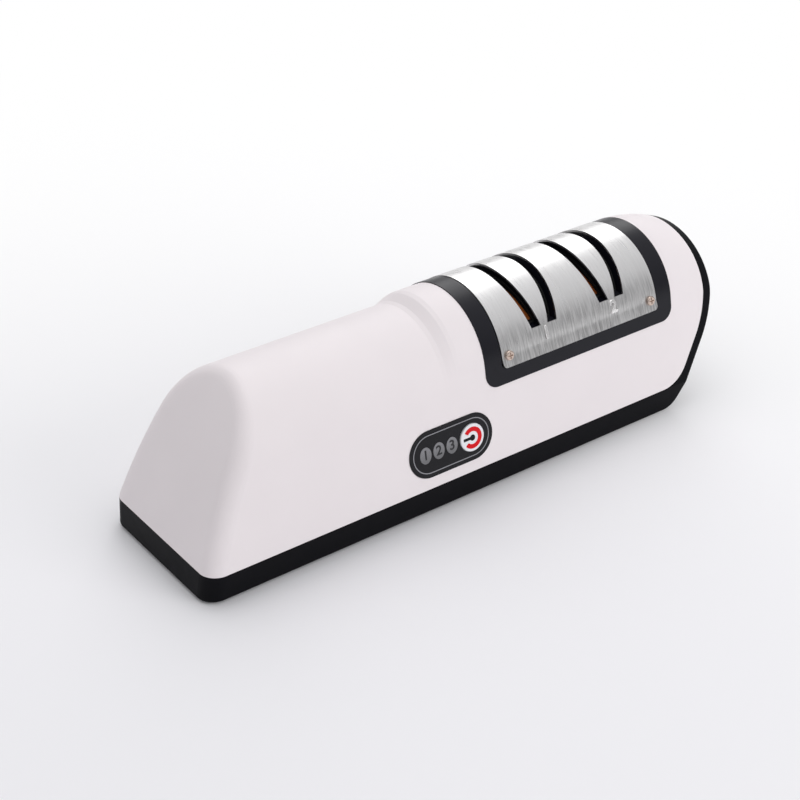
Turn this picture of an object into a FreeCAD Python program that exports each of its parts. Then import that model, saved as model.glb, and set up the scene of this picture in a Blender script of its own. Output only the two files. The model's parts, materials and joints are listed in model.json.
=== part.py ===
"""Two-stage electric knife sharpener, millimetres, +Z up.

The origin is the centre of the footprint, on the surface that the feet stand on.
+X runs along the body towards the sharpening head, and the control panel faces -Y.
"""
import FreeCAD, Part
import math
import os

V = FreeCAD.Vector

# Outer body
OVERALL_LENGTH = 232.4
BODY_WIDTH = 65.0
HEAD_HEIGHT = 68.0
HANDLE_DROP = 3.0
HEAD_ARC = 26.0
SEAM_HEIGHT = 11.0
BASE_TAPER = 1.0
NOSE_FLARE = 1.25
NOSE_LEAN = 18.5
NOSE_ARC = 180.0
NOSE_EDGE = 6.5
CASE_EDGE = 1.2
END_SLOPE_RUN = 21.9
END_SLOPE_TOP = 34.8
TOE_ARC = 8.0
HEEL_ARC = 40.0
CROWN_ARC = 80.0
CROWN_START = 57.0
END_FALL = 5.3
END_POWER = 1.6
END_SPANS = 12
RAMP_LENGTH = 7.2
RAMP_TO_BEZEL = 10.5
RAMP_SPANS = 4
WALL = 2.2

# The line where the upper shell and the base meet
BAND = 4.4
BAND_ROOT = 14.0
SHELL_GAP = 0.15
LIP_HEIGHT = 2.0
LIP_THICKNESS = 1.2
LIP_INSET = 12.0

# Sharpening head
BEZEL_LENGTH = 90.0
BEZEL_FROM_END = 21.9
BEZEL_DROP = 29.5
BEZEL_CORNER = 5.0
BEZEL_PROUD = 0.3
FLANGE_LAP = 2.5
FLANGE_THICKNESS = 1.0
FIT_GAP = 0.1
PLATE_LENGTH = 74.7
PLATE_DROP = 23.4
PLATE_CORNER = 1.5
PLATE_THICKNESS = 0.8
PLATE_PROUD = 0.45
PLATE_GAP = 0.35
SLOT_WIDTH = 4.2
SLOT_TILT = 14.4
SLOT_PITCH = 14.5
SLOT_DROP = 13.7
SLOT_RELIEF = 0.4
STAGE_PITCH = 32.5
GUIDE_WALL = 2.4
GUIDE_TO_HUB = 0.6
PLATE_SCREW_INSET = 3.1
PLATE_SCREW_DROP = 19.6
PLATE_SCREW_HEAD = 3.6
PLATE_SCREW_HEAD_THICKNESS = 1.0
PLATE_SCREW_SHANK = 2.0
PLATE_SCREW_LENGTH = 7.0
PLATE_SCREW_BOSS = 4.6

# Grinding train, all on one axis
AXIS_DROP = 29.1
SHAFT_DIAMETER = 6.0
SHAFT_FROM_BEZEL = 18.0
SHAFT_OVERHANG = 6.0
RUNNING_GAP = 0.05
WHEEL_DIAMETER = 45.0
WHEEL_THICKNESS = 3.0
WHEEL_SHIFT = 1.2
WHEEL_TO_GUIDE = 1.0
WHEEL_WINDOW_GAP = 1.8
HUB_DIAMETER = 12.0
HUB_LENGTH = 9.0
HUB_FLANGE_DIAMETER = 18.0
HUB_FLANGE_THICKNESS = 2.0
SPACER_DIAMETER = 9.0
SHAFT_CHAMFER = 0.5
WHEEL_CHAMFER = 0.5
COUPLING_CHAMFER = 0.6
BUSH_DIAMETER = 10.0
BLOCK_THICKNESS = 8.0
BLOCK_WIDTH = 20.0
BLOCK_HEAD = 18.0
BLOCK_FOOT_LENGTH = 9.0
BLOCK_FOOT_THICKNESS = 4.0
LEFT_BLOCK_FROM_BEZEL = 3.6
RIGHT_BLOCK_FROM_BEZEL = 4.8
BLOCK_SCREW = 3.0
BLOCK_SCREW_HEAD = 5.5
BLOCK_SCREW_HEAD_HEIGHT = 2.0
BLOCK_SCREW_LENGTH = 8.0
BLOCK_SCREW_TO_FLOOR = 1.0
BOSS_WALL = 1.8
NUT_ACROSS_FLATS = 10.0
NUT_THICKNESS = 4.0

# Motor
MOTOR_DIAMETER = 24.4
MOTOR_CAN_LENGTH = 33.0
MOTOR_WALL = 1.2
MOTOR_NOSE_DIAMETER = 9.0
MOTOR_NOSE_LENGTH = 2.5
END_CAP_LENGTH = 5.0
MOTOR_SHAFT_DIAMETER = 2.3
MOTOR_SHAFT_STICKOUT = 12.0
MAGNET_THICKNESS = 2.4
ROTOR_GAP = 0.5
ROTOR_LENGTH = 18.0
COMMUTATOR_DIAMETER = 8.0
COMMUTATOR_LENGTH = 7.0
TERMINAL_LENGTH = 4.0
TERMINAL_WIDTH = 2.8
TERMINAL_THICKNESS = 0.5
TERMINAL_SPREAD = 15.2
BRUSH_SPACE = 2.0
MAGNET_SPLIT = 8.0
MAGNET_END_GAP = 2.0
ROTOR_SETBACK = 1.0
ROTOR_STUB = 0.5
ROTOR_SLOT = 2.0
COUPLING_DIAMETER = 12.0
COUPLING_LENGTH = 18.0
COUPLING_GAP = 1.0
CRADLE_LENGTH = 10.0
CRADLE_SETBACK = 1.0
CRADLE_WALL = 3.0
CRADLE_EAR = 6.5
CRADLE_EAR_HEIGHT = 4.0
STRAP_THICKNESS = 2.0
STRAP_EAR_HEIGHT = 2.5

# Battery pack
CELL_DIAMETER = 14.2
CELL_TO_CRADLE = 3.0
CELL_GAP = 1.0
CELL_TIP = 1.0
CELL_TIP_DIAMETER = 5.0
CELL_EDGE = 0.6
CELL_FROM_NOSE = 9.5
TRAY_WALL = 1.6
TRAY_RAISE = 0.6
CONTACT_THICKNESS = 0.4
CONTACT_WIDTH = 9.0

# Control panel, set flat in the front wall
PANEL_LENGTH = 36.7
PANEL_HEIGHT = 17.6
PANEL_TO_BEZEL = 18.2
PANEL_CENTRE_HEIGHT = 24.0
PANEL_PROUD = 0.25
PANEL_DEPTH = 3.4
PANEL_FLANGE = 1.2
PANEL_FLANGE_THICKNESS = 1.0
WINDOW_WIDTH = 5.06
WINDOW_HEIGHT = 6.4
WINDOW_PITCH = 5.8
WINDOW_FROM_END = 7.0
WINDOW_GAP = 0.08
BUTTON_DIAMETER = 10.4
BUTTON_FROM_END = 9.3
BUTTON_PROUD = 0.5
BUTTON_TRAVEL = 0.7
BUTTON_GAP = 0.2
BUTTON_FLANGE_DIAMETER = 12.2
BUTTON_FLANGE_THICKNESS = 1.0
BUTTON_SEAT = 2.3
BUTTON_EDGE = 0.35
STEM_DIAMETER = 4.0
STEM_END = 5.3
RING_RADIUS = 3.8
RING_STROKE = 1.15
RING_OPENING = 36.0
MARK_DOT_RADIUS = 1.05
MARK_BAR_WIDTH = 0.9
MARK_BAR_LENGTH = 3.9
INLAY_DEPTH = 0.4
INLAY_PROUD = 0.03
BOARD_THICKNESS = 1.6
BOARD_DEPTH = 8.2
BOARD_HEIGHT = 14.0
BOARD_POST_DIAMETER = 3.8
BOARD_POST_FROM_END = 1.6
BOARD_SCREW_DIAMETER = 1.8
BOARD_SCREW_HEAD = 3.4
BOARD_SCREW_HEAD_HEIGHT = 1.2
BOARD_SCREW_LENGTH = 5.0
SWITCH_SIDE = 6.0
SWITCH_HEIGHT = 1.9
PLUNGER_DIAMETER = 3.0
PLUNGER_GAP = 0.08
LIGHT_SIDE = 2.0
LIGHT_HEIGHT = 1.2

# Charging socket, in the back wall of the base
PORT_TO_BEZEL = 56.4
PORT_WIDTH = 8.94
PORT_HEIGHT = 3.26
PORT_DEPTH = 7.3
PORT_WALL = 0.35
PORT_TONGUE = 0.7
PORT_BOARD_LENGTH = 18.0
PORT_BOARD_DEPTH = 7.8
PORT_BOARD_THICKNESS = 1.2
PORT_BOARD_RAISE = 0.3
PORT_BOARD_GAP = 0.5
PORT_RECESS = 0.3
PORT_TONGUE_RECESS = 1.5

# Feet and case screws
FOOT_DIAMETER = 10.0
FOOT_HEIGHT = 0.55
FOOT_RECESS = 1.0
FOOT_CHAMFER = 0.4
FOOT_FROM_NOSE = 17.0
FOOT_FROM_END = 48.0
FOOT_SPREAD = 42.0
CASE_SCREW = 3.0
CASE_SCREW_HEAD = 5.6
CASE_SCREW_HEAD_HEIGHT = 2.2
CASE_SCREW_LENGTH = 20.0
CASE_SCREW_FROM_NOSE = 27.0
CASE_SCREW_FROM_END = 38.0
CASE_SCREW_SPREAD = 49.0
POST_DIAMETER = 7.0
POST_TOP = 34.0
COUNTERBORE_FLOOR = 5.0
HOLE_GAP = 0.05

# Proportions of every pan-head screw with a cross recess
PAN_EDGE_SHARE = 0.45
CROSS_REACH_SHARE = 0.62
CROSS_WIDTH_SHARE = 0.12
CROSS_FLOOR_SHARE = 0.45

# How far a cutting shape runs past the piece that it cuts, and a full rounding that leaves an edge
PAST = 1.0
ALMOST = 0.999

# Places that follow from the sizes above
RIGHT_X = OVERALL_LENGTH / 2
NOSE_X = NOSE_FLARE * (SEAM_HEIGHT - FOOT_HEIGHT - CASE_EDGE) / SEAM_HEIGHT - OVERALL_LENGTH / 2
BEZEL_RIGHT = RIGHT_X - BEZEL_FROM_END
BEZEL_LEFT = BEZEL_RIGHT - BEZEL_LENGTH
BEZEL_BOTTOM = HEAD_HEIGHT - BEZEL_DROP
HEAD_X = (BEZEL_LEFT + BEZEL_RIGHT) / 2
FALL_START = BEZEL_RIGHT + FLANGE_LAP
RAMP_END = BEZEL_LEFT - RAMP_TO_BEZEL
RAMP_START = RAMP_END - RAMP_LENGTH
STAGES = {"fine": HEAD_X - STAGE_PITCH / 2, "coarse": HEAD_X + STAGE_PITCH / 2}
WHEELS = {name: stage - WHEEL_SHIFT for name, stage in STAGES.items()}
PLATE_BOTTOM = HEAD_HEIGHT - PLATE_DROP
SLOT_END_HEIGHT = HEAD_HEIGHT - SLOT_DROP
PLATE_SCREW_HEIGHT = HEAD_HEIGHT - PLATE_SCREW_DROP
AXIS_HEIGHT = HEAD_HEIGHT - AXIS_DROP
HANDLE_HEIGHT = HEAD_HEIGHT - HANDLE_DROP
BASE_FLOOR = FOOT_HEIGHT + WALL
FAR = 2 * OVERALL_LENGTH
HEAD_CENTRE = HEAD_HEIGHT - HEAD_ARC
REACH = math.hypot(BODY_WIDTH / 2, HEAD_CENTRE - SEAM_HEIGHT)
WALL_LEAN = math.acos(HEAD_ARC / REACH) - math.atan2(HEAD_CENTRE - SEAM_HEIGHT, BODY_WIDTH / 2)
INNER = WALL + FIT_GAP
CARRIER = INNER + FLANGE_THICKNESS
GUIDE_BOTTOM = AXIS_HEIGHT + HUB_FLANGE_DIAMETER / 2 + GUIDE_TO_HUB
SHAFT_START = BEZEL_LEFT - SHAFT_FROM_BEZEL
LEFT_BLOCK = BEZEL_LEFT + LEFT_BLOCK_FROM_BEZEL
RIGHT_BLOCK = BEZEL_RIGHT - RIGHT_BLOCK_FROM_BEZEL - BLOCK_THICKNESS
SHAFT_END = RIGHT_BLOCK + BLOCK_THICKNESS + SHAFT_OVERHANG
MOTOR_FRONT = SHAFT_START - COUPLING_GAP / 2 - MOTOR_SHAFT_STICKOUT
CRADLE_END = MOTOR_FRONT - CRADLE_SETBACK
CRADLE_START = CRADLE_END - CRADLE_LENGTH
BLOCK_FOOT_LEVEL = BASE_FLOOR + BLOCK_SCREW_LENGTH - BLOCK_FOOT_THICKNESS + BLOCK_SCREW_TO_FLOOR
PANEL_X = BEZEL_LEFT - PANEL_TO_BEZEL
CELL_START = NOSE_X + CELL_FROM_NOSE
CELL_END = CRADLE_START - CELL_TO_CRADLE
CELL_AXIS = BASE_FLOOR + TRAY_RAISE + CELL_DIAMETER / 2
PORT_X = BEZEL_LEFT - PORT_TO_BEZEL
PORT_Z = BASE_FLOOR + PORT_BOARD_RAISE + PORT_BOARD_THICKNESS + PORT_HEIGHT / 2
BUTTON_X = PANEL_LENGTH / 2 - BUTTON_FROM_END
BOARD_POSTS = (BOARD_POST_FROM_END - PANEL_LENGTH / 2, PANEL_LENGTH / 2 - BOARD_POST_FROM_END)

parts = {}


def segment(start, end):
    """A straight edge."""
    return Part.LineSegment(start, end).toShape()


def arc(start, middle, end):
    """An arc through three points."""
    return Part.Arc(start, middle, end).toShape()


def corner(before, point, after, radius):
    """Start, middle and end of the arc that rounds a corner."""
    back = (before - point).normalize()
    ahead = (after - point).normalize()
    half = back.getAngle(ahead) / 2
    inwards = (back + ahead).normalize()
    centre = point + inwards * (radius / math.sin(half))
    reach = radius / math.tan(half)
    return point + back * reach, centre - inwards * radius, point + ahead * reach


def rounded_face(points, radii):
    """A flat face on a closed outline whose corners are rounded where a radius is given."""
    count = len(points)
    turns = []
    for i, point in enumerate(points):
        if radii[i]:
            turns.append(corner(points[i - 1], point, points[(i + 1) % count], radii[i]))
        else:
            turns.append((point, point, point))
    edges = []
    for i in range(count):
        first, middle, last = turns[i]
        if radii[i]:
            edges.append(arc(first, middle, last))
        if (turns[(i + 1) % count][0] - last).Length > 1e-6:
            edges.append(segment(last, turns[(i + 1) % count][0]))
    return Part.Face(Part.Wire(edges))


def block(low, high):
    """A box between two corners given as (x, y, z)."""
    return Part.makeBox(high[0] - low[0], high[1] - low[1], high[2] - low[2], V(*low))


def rod_x(start, end, radius, y=0.0, z=AXIS_HEIGHT):
    """A cylinder along X."""
    return Part.makeCylinder(radius, end - start, V(start, y, z), V(1, 0, 0))


def tube_x(start, end, outer, inner, y=0.0, z=AXIS_HEIGHT):
    """A tube along X."""
    return rod_x(start, end, outer, y, z).cut(rod_x(start - 1, end + 1, inner, y, z))


def rod_z(x, y, low, high, radius):
    """A cylinder along Z."""
    return Part.makeCylinder(radius, high - low, V(x, y, low), V(0, 0, 1))


def round_edges(shape):
    """The circular edges of a shape."""
    return [edge for edge in shape.Edges if edge.Curve.TypeId == "Part::GeomCircle"]


def one(shape):
    """The single solid in a result, with split faces joined."""
    return shape.Solids[0].removeSplitter()


def screw(head_radius, head_height, shank_radius, length):
    """A pan-head screw with a cross recess, head upwards, seated at the origin."""
    head = Part.makeCylinder(head_radius, head_height)
    rim = [edge for edge in round_edges(head) if edge.Curve.Center.z > 0]
    head = head.makeFillet(head_height * PAN_EDGE_SHARE, rim)
    arm = head_radius * CROSS_REACH_SHARE
    slot = head_radius * CROSS_WIDTH_SHARE
    for turn in (0, 90):
        cut = Part.makeBox(2 * arm, 2 * slot, head_height, V(-arm, -slot, head_height * CROSS_FLOOR_SHARE))
        cut.rotate(V(), V(0, 0, 1), turn)
        head = head.cut(cut)
    return head.fuse(Part.makeCylinder(shank_radius, length, V(0, 0, -length))).removeSplitter()


def placed(shape, position, upwards):
    """A copy of a shape with its +Z turned to a direction and its origin put at a point."""
    copy = shape.copy()
    copy.Placement = FreeCAD.Placement(position, FreeCAD.Rotation(V(0, 0, 1), upwards))
    return copy


def section(x, top, inset):
    """The body's cross-section at x, with its roof at a height, moved inwards by inset."""
    half = BODY_WIDTH / 2
    rise = top - SEAM_HEIGHT
    arc_radius = (half * math.cos(WALL_LEAN) - rise * math.sin(WALL_LEAN)) / (1 - math.sin(WALL_LEAN))
    centre = top - arc_radius
    height = SEAM_HEIGHT - FOOT_HEIGHT
    length = math.hypot(height, BASE_TAPER)
    upper = V(0, math.cos(WALL_LEAN), math.sin(WALL_LEAN))
    lower = V(0, height / length, -BASE_TAPER / length)
    seam = V(0, half, SEAM_HEIGHT)
    upper_reach = upper.dot(seam) - inset
    lower_reach = lower.dot(seam) - inset
    scale = upper.y * lower.z - upper.z * lower.y
    bend = V(x, (upper_reach * lower.z - upper.z * lower_reach) / scale,
             (upper.y * lower_reach - upper_reach * lower.y) / scale)
    foot = V(x, (lower_reach - lower.z * (FOOT_HEIGHT + inset)) / lower.y, FOOT_HEIGHT + inset)
    radius = arc_radius - inset
    shoulder = V(x, radius * upper.y, centre + radius * upper.z)

    def mirrored(point):
        return V(point.x, -point.y, point.z)

    return Part.Wire([
        segment(mirrored(foot), foot), segment(foot, bend), segment(bend, shoulder),
        arc(shoulder, V(x, 0, centre + radius), mirrored(shoulder)),
        segment(mirrored(shoulder), mirrored(bend)), segment(mirrored(bend), mirrored(foot))])


def head_prism(inset):
    """The head's cross-section carried along the whole length."""
    return Part.Face(section(-FAR, HEAD_HEIGHT, inset)).extrude(V(2 * FAR, 0, 0))


def long_form(inset):
    """Handle, ramp, head and falling end as one long form with open-ended length."""
    wires = [section(-OVERALL_LENGTH, HANDLE_HEIGHT, inset)]
    for i in range(RAMP_SPANS + 1):
        share = i / RAMP_SPANS
        blend = share * share * (3 - 2 * share)
        wires.append(section(RAMP_START + RAMP_LENGTH * share,
                             HANDLE_HEIGHT + (HEAD_HEIGHT - HANDLE_HEIGHT) * blend, inset))
    for i in range(END_SPANS + 2):
        share = i / END_SPANS
        wires.append(section(FALL_START + (RIGHT_X - FALL_START) * share,
                             HEAD_HEIGHT - END_FALL * share ** END_POWER, inset))
    return Part.makeLoft(wires, True, True)


def right_corners(inset, low, y):
    """Corners of the right end's outline: toe, heel and the start of the crown."""
    slope = math.atan2(END_SLOPE_TOP, END_SLOPE_RUN)
    start_x = RIGHT_X - END_SLOPE_RUN - inset * math.sin(slope)
    start_z = inset * math.cos(slope)
    toe = V(start_x + (low - start_z) / math.tan(slope), y, low)
    heel = V(RIGHT_X - inset, y, start_z + (RIGHT_X - inset - start_x) * math.tan(slope))
    return toe, heel, V(RIGHT_X - inset, y, CROWN_START)


def crown(inset, top, y):
    """The arc that leans the right end inwards, up to a height, and its last point."""
    radius = CROWN_ARC - inset
    angle = math.asin((top - CROWN_START) / radius)
    centre_x = RIGHT_X - CROWN_ARC

    def at(turn):
        return V(centre_x + radius * math.cos(turn), y, CROWN_START + radius * math.sin(turn))

    return arc(at(0), at(angle / 2), at(angle)), at(angle)


def side_face(inset):
    """The body's side outline, moved inwards by inset and open above the crown."""
    y = -BODY_WIDTH
    top = CROWN_START + (CROWN_ARC - inset) * 0.8
    toe, heel, shoulder = right_corners(inset, FOOT_HEIGHT + inset, y)
    crown_edge, crown_end = crown(inset, top, y)
    lean = math.radians(NOSE_LEAN)
    centre = V(NOSE_X + NOSE_ARC * math.cos(lean), y, SEAM_HEIGHT - NOSE_ARC * math.sin(lean))
    radius = NOSE_ARC - inset

    def nose(z):
        return V(centre.x - math.sqrt(radius * radius - (z - centre.z) ** 2), y, z)

    drop = math.hypot(SEAM_HEIGHT, NOSE_FLARE)

    def flare(z):
        return V(NOSE_X + inset * drop / SEAM_HEIGHT - NOSE_FLARE * (SEAM_HEIGHT - z) / SEAM_HEIGHT, y, z)

    low, high = SEAM_HEIGHT - inset, SEAM_HEIGHT + inset + 1
    for _ in range(50):
        middle = (low + high) / 2
        if nose(middle).x > flare(middle).x:
            high = middle
        else:
            low = middle
    bend = nose(low)
    base = flare(FOOT_HEIGHT + inset)
    toe_arc = corner(base, toe, heel, TOE_ARC)
    heel_arc = corner(toe, heel, shoulder, HEEL_ARC - inset)
    return Part.Face(Part.Wire([
        segment(bend, base), segment(base, toe_arc[0]), arc(*toe_arc), segment(toe_arc[2], heel_arc[0]),
        arc(*heel_arc), segment(heel_arc[2], shoulder), crown_edge, segment(crown_end, nose(top)),
        arc(nose(top), nose((top + low) / 2), bend)]))


def face_normal(face):
    """The outward direction at the middle of a face."""
    first_u, last_u, first_v, last_v = face.ParameterRange
    return face.normalAt((first_u + last_u) / 2, (first_v + last_v) / 2)


def border_edges(solid, wanted):
    """The edges between the faces that a test picks and all the others, above the bottom."""
    picked = [face for face in solid.Faces if wanted(face)]
    rest = [edge for face in solid.Faces if not wanted(face) for edge in face.Edges]
    return [edge for face in picked for edge in face.Edges if any(edge.isSame(other) for other in rest)]


def body(inset):
    """The whole closed body, moved inwards by inset.

    Inner skins keep sharp case edges, because the wall is thicker than the edge's radius.
    """
    side = side_face(inset).extrude(V(0, 2 * BODY_WIDTH, 0))
    solid = one(long_form(inset).common(side))
    low = FOOT_HEIGHT + inset + 0.1

    def on_nose(face):
        normal = face_normal(face)
        return face.BoundBox.XMax < RAMP_START and normal.x < -0.3 and abs(normal.y) < 0.05

    def on_right(face):
        normal = face_normal(face)
        return face.BoundBox.XMin > BEZEL_RIGHT - WALL * 4 and normal.x > 0.3 and abs(normal.y) < 0.05

    def on_bottom(face):
        return face_normal(face).z < -0.99

    nose_edges = [e for e in border_edges(solid, on_nose) if e.BoundBox.ZMax > low]
    solid = one(solid.makeFillet(NOSE_EDGE - inset, nose_edges))
    if inset:
        return solid
    rim = [e for e in border_edges(solid, on_right) if e.BoundBox.ZMax > low]
    rim += [e for e in border_edges(solid, on_bottom) if e.BoundBox.XMin < RAMP_START]
    return one(solid.makeFillet(CASE_EDGE, rim))


def below_seam(gap):
    """The space of the base: under the seam and beyond the band that climbs the right end."""
    y = -BODY_WIDTH
    inset = BAND + gap
    seam = SEAM_HEIGHT + gap
    root, heel, shoulder = right_corners(inset, seam, y)
    start = V(-FAR, y, seam)
    top = CROWN_START + (CROWN_ARC - inset) * 0.8
    crown_edge, crown_end = crown(inset, top, y)
    root_arc = corner(start, root, heel, BAND_ROOT)
    heel_arc = corner(root, heel, shoulder, HEEL_ARC - inset)
    outline = Part.Wire([
        segment(start, root_arc[0]), arc(*root_arc), segment(root_arc[2], heel_arc[0]), arc(*heel_arc),
        segment(heel_arc[2], shoulder), crown_edge, segment(crown_end, V(FAR, y, top)),
        segment(V(FAR, y, top), V(FAR, y, -SEAM_HEIGHT)), segment(V(FAR, y, -SEAM_HEIGHT),
                                                                  V(-FAR, y, -SEAM_HEIGHT)),
        segment(V(-FAR, y, -SEAM_HEIGHT), start)])
    return Part.Face(outline).extrude(V(0, 2 * BODY_WIDTH, 0))


def saddle(left, right, bottom, radius):
    """The space over a stretch of the head, down to a height, with rounded lower corners."""
    top = HEAD_HEIGHT * 2
    y = -BODY_WIDTH
    points = [V(left, y, bottom), V(right, y, bottom), V(right, y, top), V(left, y, top)]
    return rounded_face(points, [radius, radius, 0, 0]).extrude(V(0, 2 * BODY_WIDTH, 0))


def slot_spaces(extra):
    """The four leaning blade slots, widened by extra on each side."""
    tilt = math.tan(math.radians(SLOT_TILT))
    half = SLOT_WIDTH / 2 / math.cos(math.radians(SLOT_TILT)) + extra
    low = SLOT_END_HEIGHT - extra
    high = HEAD_HEIGHT + SLOT_WIDTH
    spaces = []
    for stage in STAGES.values():
        for side in (-1, 1):
            foot = stage + side * (SLOT_PITCH / 2 - (HEAD_HEIGHT - low) * tilt)
            head = stage + side * (SLOT_PITCH / 2 + (high - HEAD_HEIGHT) * tilt)
            y = -BODY_WIDTH
            points = [V(foot - half, y, low), V(foot + half, y, low),
                      V(head + half, y, high), V(head - half, y, high)]
            spaces.append(rounded_face(points, [0, 0, 0, 0]).extrude(V(0, 2 * BODY_WIDTH, 0)))
    return spaces


def on_head(x, z, side, depth):
    """A point at a depth under the head's surface, and the outward direction there."""
    slant = math.asin((z - HEAD_CENTRE) / HEAD_ARC)
    outwards = V(0, side * math.cos(slant), math.sin(slant))
    return V(x, 0, HEAD_CENTRE) + outwards * (HEAD_ARC - depth), outwards


def plate_screw_seats():
    """Where the four plate screws sit, and the way each one points."""
    reach = PLATE_LENGTH / 2 - PLATE_SCREW_INSET
    return [on_head(HEAD_X + end * reach, PLATE_SCREW_HEIGHT, side, -PLATE_PROUD)
            for end in (-1, 1) for side in (-1, 1)]


def case_screw_places():
    """Where the four case screws stand."""
    left = NOSE_X + CASE_SCREW_FROM_NOSE
    right = RIGHT_X - CASE_SCREW_FROM_END
    return [(x, side * CASE_SCREW_SPREAD / 2) for x in (left, right) for side in (-1, 1)]


def foot_places():
    """Where the four feet stand."""
    left = NOSE_X + FOOT_FROM_NOSE
    right = RIGHT_X - FOOT_FROM_END
    return [(x, side * FOOT_SPREAD / 2) for x in (left, right) for side in (-1, 1)]


def block_screw_places(start):
    """Where the two screws of a bearing block stand."""
    x = start + BLOCK_THICKNESS / 2
    return [(x, side * (BLOCK_WIDTH / 2 + BLOCK_FOOT_LENGTH / 2)) for side in (-1, 1)]


def panel_point(u, v, out):
    """A point in the panel's own frame: along +X, up the wall, and outwards."""
    drop = (PANEL_CENTRE_HEIGHT - SEAM_HEIGHT) * math.tan(WALL_LEAN)
    centre = V(PANEL_X, -(BODY_WIDTH / 2 - drop), PANEL_CENTRE_HEIGHT)
    up = V(0, math.sin(WALL_LEAN), math.cos(WALL_LEAN))
    away = V(0, -math.cos(WALL_LEAN), math.sin(WALL_LEAN))
    return centre + V(u, 0, 0) + up * v + away * out


def on_panel(shape):
    """A shape drawn flat, +Z outwards, turned and moved to the panel's place."""
    copy = shape.copy()
    turn = FreeCAD.Rotation(V(1, 0, 0), 90 - math.degrees(WALL_LEAN))
    copy.Placement = FreeCAD.Placement(panel_point(0, 0, 0), turn).multiply(copy.Placement)
    return copy


def stadium(length, height, low, high):
    """A flat stadium, drawn at the origin between two levels."""
    half, radius = length / 2, height / 2
    points = [V(-half, -radius, low), V(half, -radius, low), V(half, radius, low), V(-half, radius, low)]
    return rounded_face(points, [radius * ALMOST] * 4).extrude(V(0, 0, high - low))


def oval(x, width, height, low, high):
    """A flat oval, drawn at x between two levels."""
    if height >= width:
        ellipse = Part.Ellipse(V(x, height / 2, low), V(x + width / 2, 0, low), V(x, 0, low))
    else:
        ellipse = Part.Ellipse(V(x + width / 2, 0, low), V(x, height / 2, low), V(x, 0, low))
    return Part.Face(Part.Wire(ellipse.toShape())).extrude(V(0, 0, high - low))


def disc(x, radius, low, high, y=0.0):
    """A flat round piece, drawn at x between two levels."""
    return Part.makeCylinder(radius, high - low, V(x, y, low))


def window_places():
    """Where the three status windows lie along the panel."""
    first = -PANEL_LENGTH / 2 + WINDOW_FROM_END
    return [first + i * WINDOW_PITCH for i in range(3)]


def make_shells():
    """The white upper shell and the black base with the band over its right end."""
    outer, cavity = body(0), body(WALL)
    casing = outer.cut(cavity)
    lower = below_seam(0)
    upper = casing.cut(below_seam(SHELL_GAP))
    base = casing.common(lower)

    inside = body(WALL / 2)
    for x, y in case_screw_places():
        post = rod_z(x, y, SEAM_HEIGHT + SHELL_GAP, POST_TOP, POST_DIAMETER / 2).common(inside)
        upper = upper.fuse(post)
    upper = upper.cut(saddle(BEZEL_LEFT - FIT_GAP, BEZEL_RIGHT + FIT_GAP, BEZEL_BOTTOM - FIT_GAP,
                             BEZEL_CORNER + FIT_GAP))
    opening = stadium(PANEL_LENGTH + 2 * FIT_GAP, PANEL_HEIGHT + 2 * FIT_GAP, -BOARD_DEPTH, WALL)
    upper = upper.cut(on_panel(opening))

    lip_inset = WALL + FIT_GAP * 1.5
    lip = body(lip_inset).cut(body(lip_inset + LIP_THICKNESS))
    reach = (NOSE_X + LIP_INSET, BEZEL_RIGHT - LIP_INSET)
    stretch = block((reach[0], -BODY_WIDTH, SEAM_HEIGHT - LIP_HEIGHT),
                    (reach[1], BODY_WIDTH, SEAM_HEIGHT + LIP_HEIGHT))
    bridge = body(WALL / 2).cut(body(lip_inset + LIP_THICKNESS))
    below = block((reach[0], -BODY_WIDTH, SEAM_HEIGHT - LIP_HEIGHT), (reach[1], BODY_WIDTH, SEAM_HEIGHT))
    base = base.fuse(lip.common(stretch)).fuse(bridge.common(below))
    shank = CASE_SCREW / 2 + HOLE_GAP
    for x, y in case_screw_places():
        around = POST_DIAMETER / 2 + 2 * FIT_GAP
        base = base.cut(rod_z(x, y, SEAM_HEIGHT, SEAM_HEIGHT + 2 * LIP_HEIGHT, around))
        base = base.fuse(rod_z(x, y, BASE_FLOOR - WALL / 2, SEAM_HEIGHT, POST_DIAMETER / 2).common(inside))
        head = CASE_SCREW_HEAD / 2 + 2 * HOLE_GAP
        base = base.cut(rod_z(x, y, 0, COUNTERBORE_FLOOR, head))
        base = base.cut(rod_z(x, y, 0, SEAM_HEIGHT + LIP_HEIGHT, shank))
        upper = upper.cut(rod_z(x, y, 0, COUNTERBORE_FLOOR + CASE_SCREW_LENGTH + CASE_SCREW / 2, shank))
    for x, y in foot_places():
        base = base.cut(rod_z(x, y, 0, FOOT_HEIGHT + FOOT_RECESS, FOOT_DIAMETER / 2 + HOLE_GAP))
    hole = BLOCK_SCREW / 2 + HOLE_GAP
    for start in (LEFT_BLOCK, RIGHT_BLOCK):
        for x, y in block_screw_places(start):
            base = base.fuse(rod_z(x, y, BASE_FLOOR - WALL / 2, BLOCK_FOOT_LEVEL, hole + BOSS_WALL))
            base = base.cut(rod_z(x, y, BASE_FLOOR, BLOCK_FOOT_LEVEL, hole))
    for x, y in cradle_screw_places():
        base = base.fuse(rod_z(x, y, BASE_FLOOR - WALL / 2, BLOCK_FOOT_LEVEL, hole + BOSS_WALL))
        base = base.cut(rod_z(x, y, BASE_FLOOR, BLOCK_FOOT_LEVEL, hole))
    base = base.cut(socket_form(FIT_GAP, BODY_WIDTH / 2 - 3 * WALL, BODY_WIDTH / 2 + WALL))
    parts["upper_shell"] = one(upper)
    parts["base_shell"] = one(base)


def cradle_screw_places():
    """Where the two screws of the motor cradle's foot stand."""
    x = (CRADLE_START + CRADLE_END) / 2
    return [(x, side * (BLOCK_WIDTH / 2 + BLOCK_FOOT_LENGTH / 2)) for side in (-1, 1)]


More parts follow.
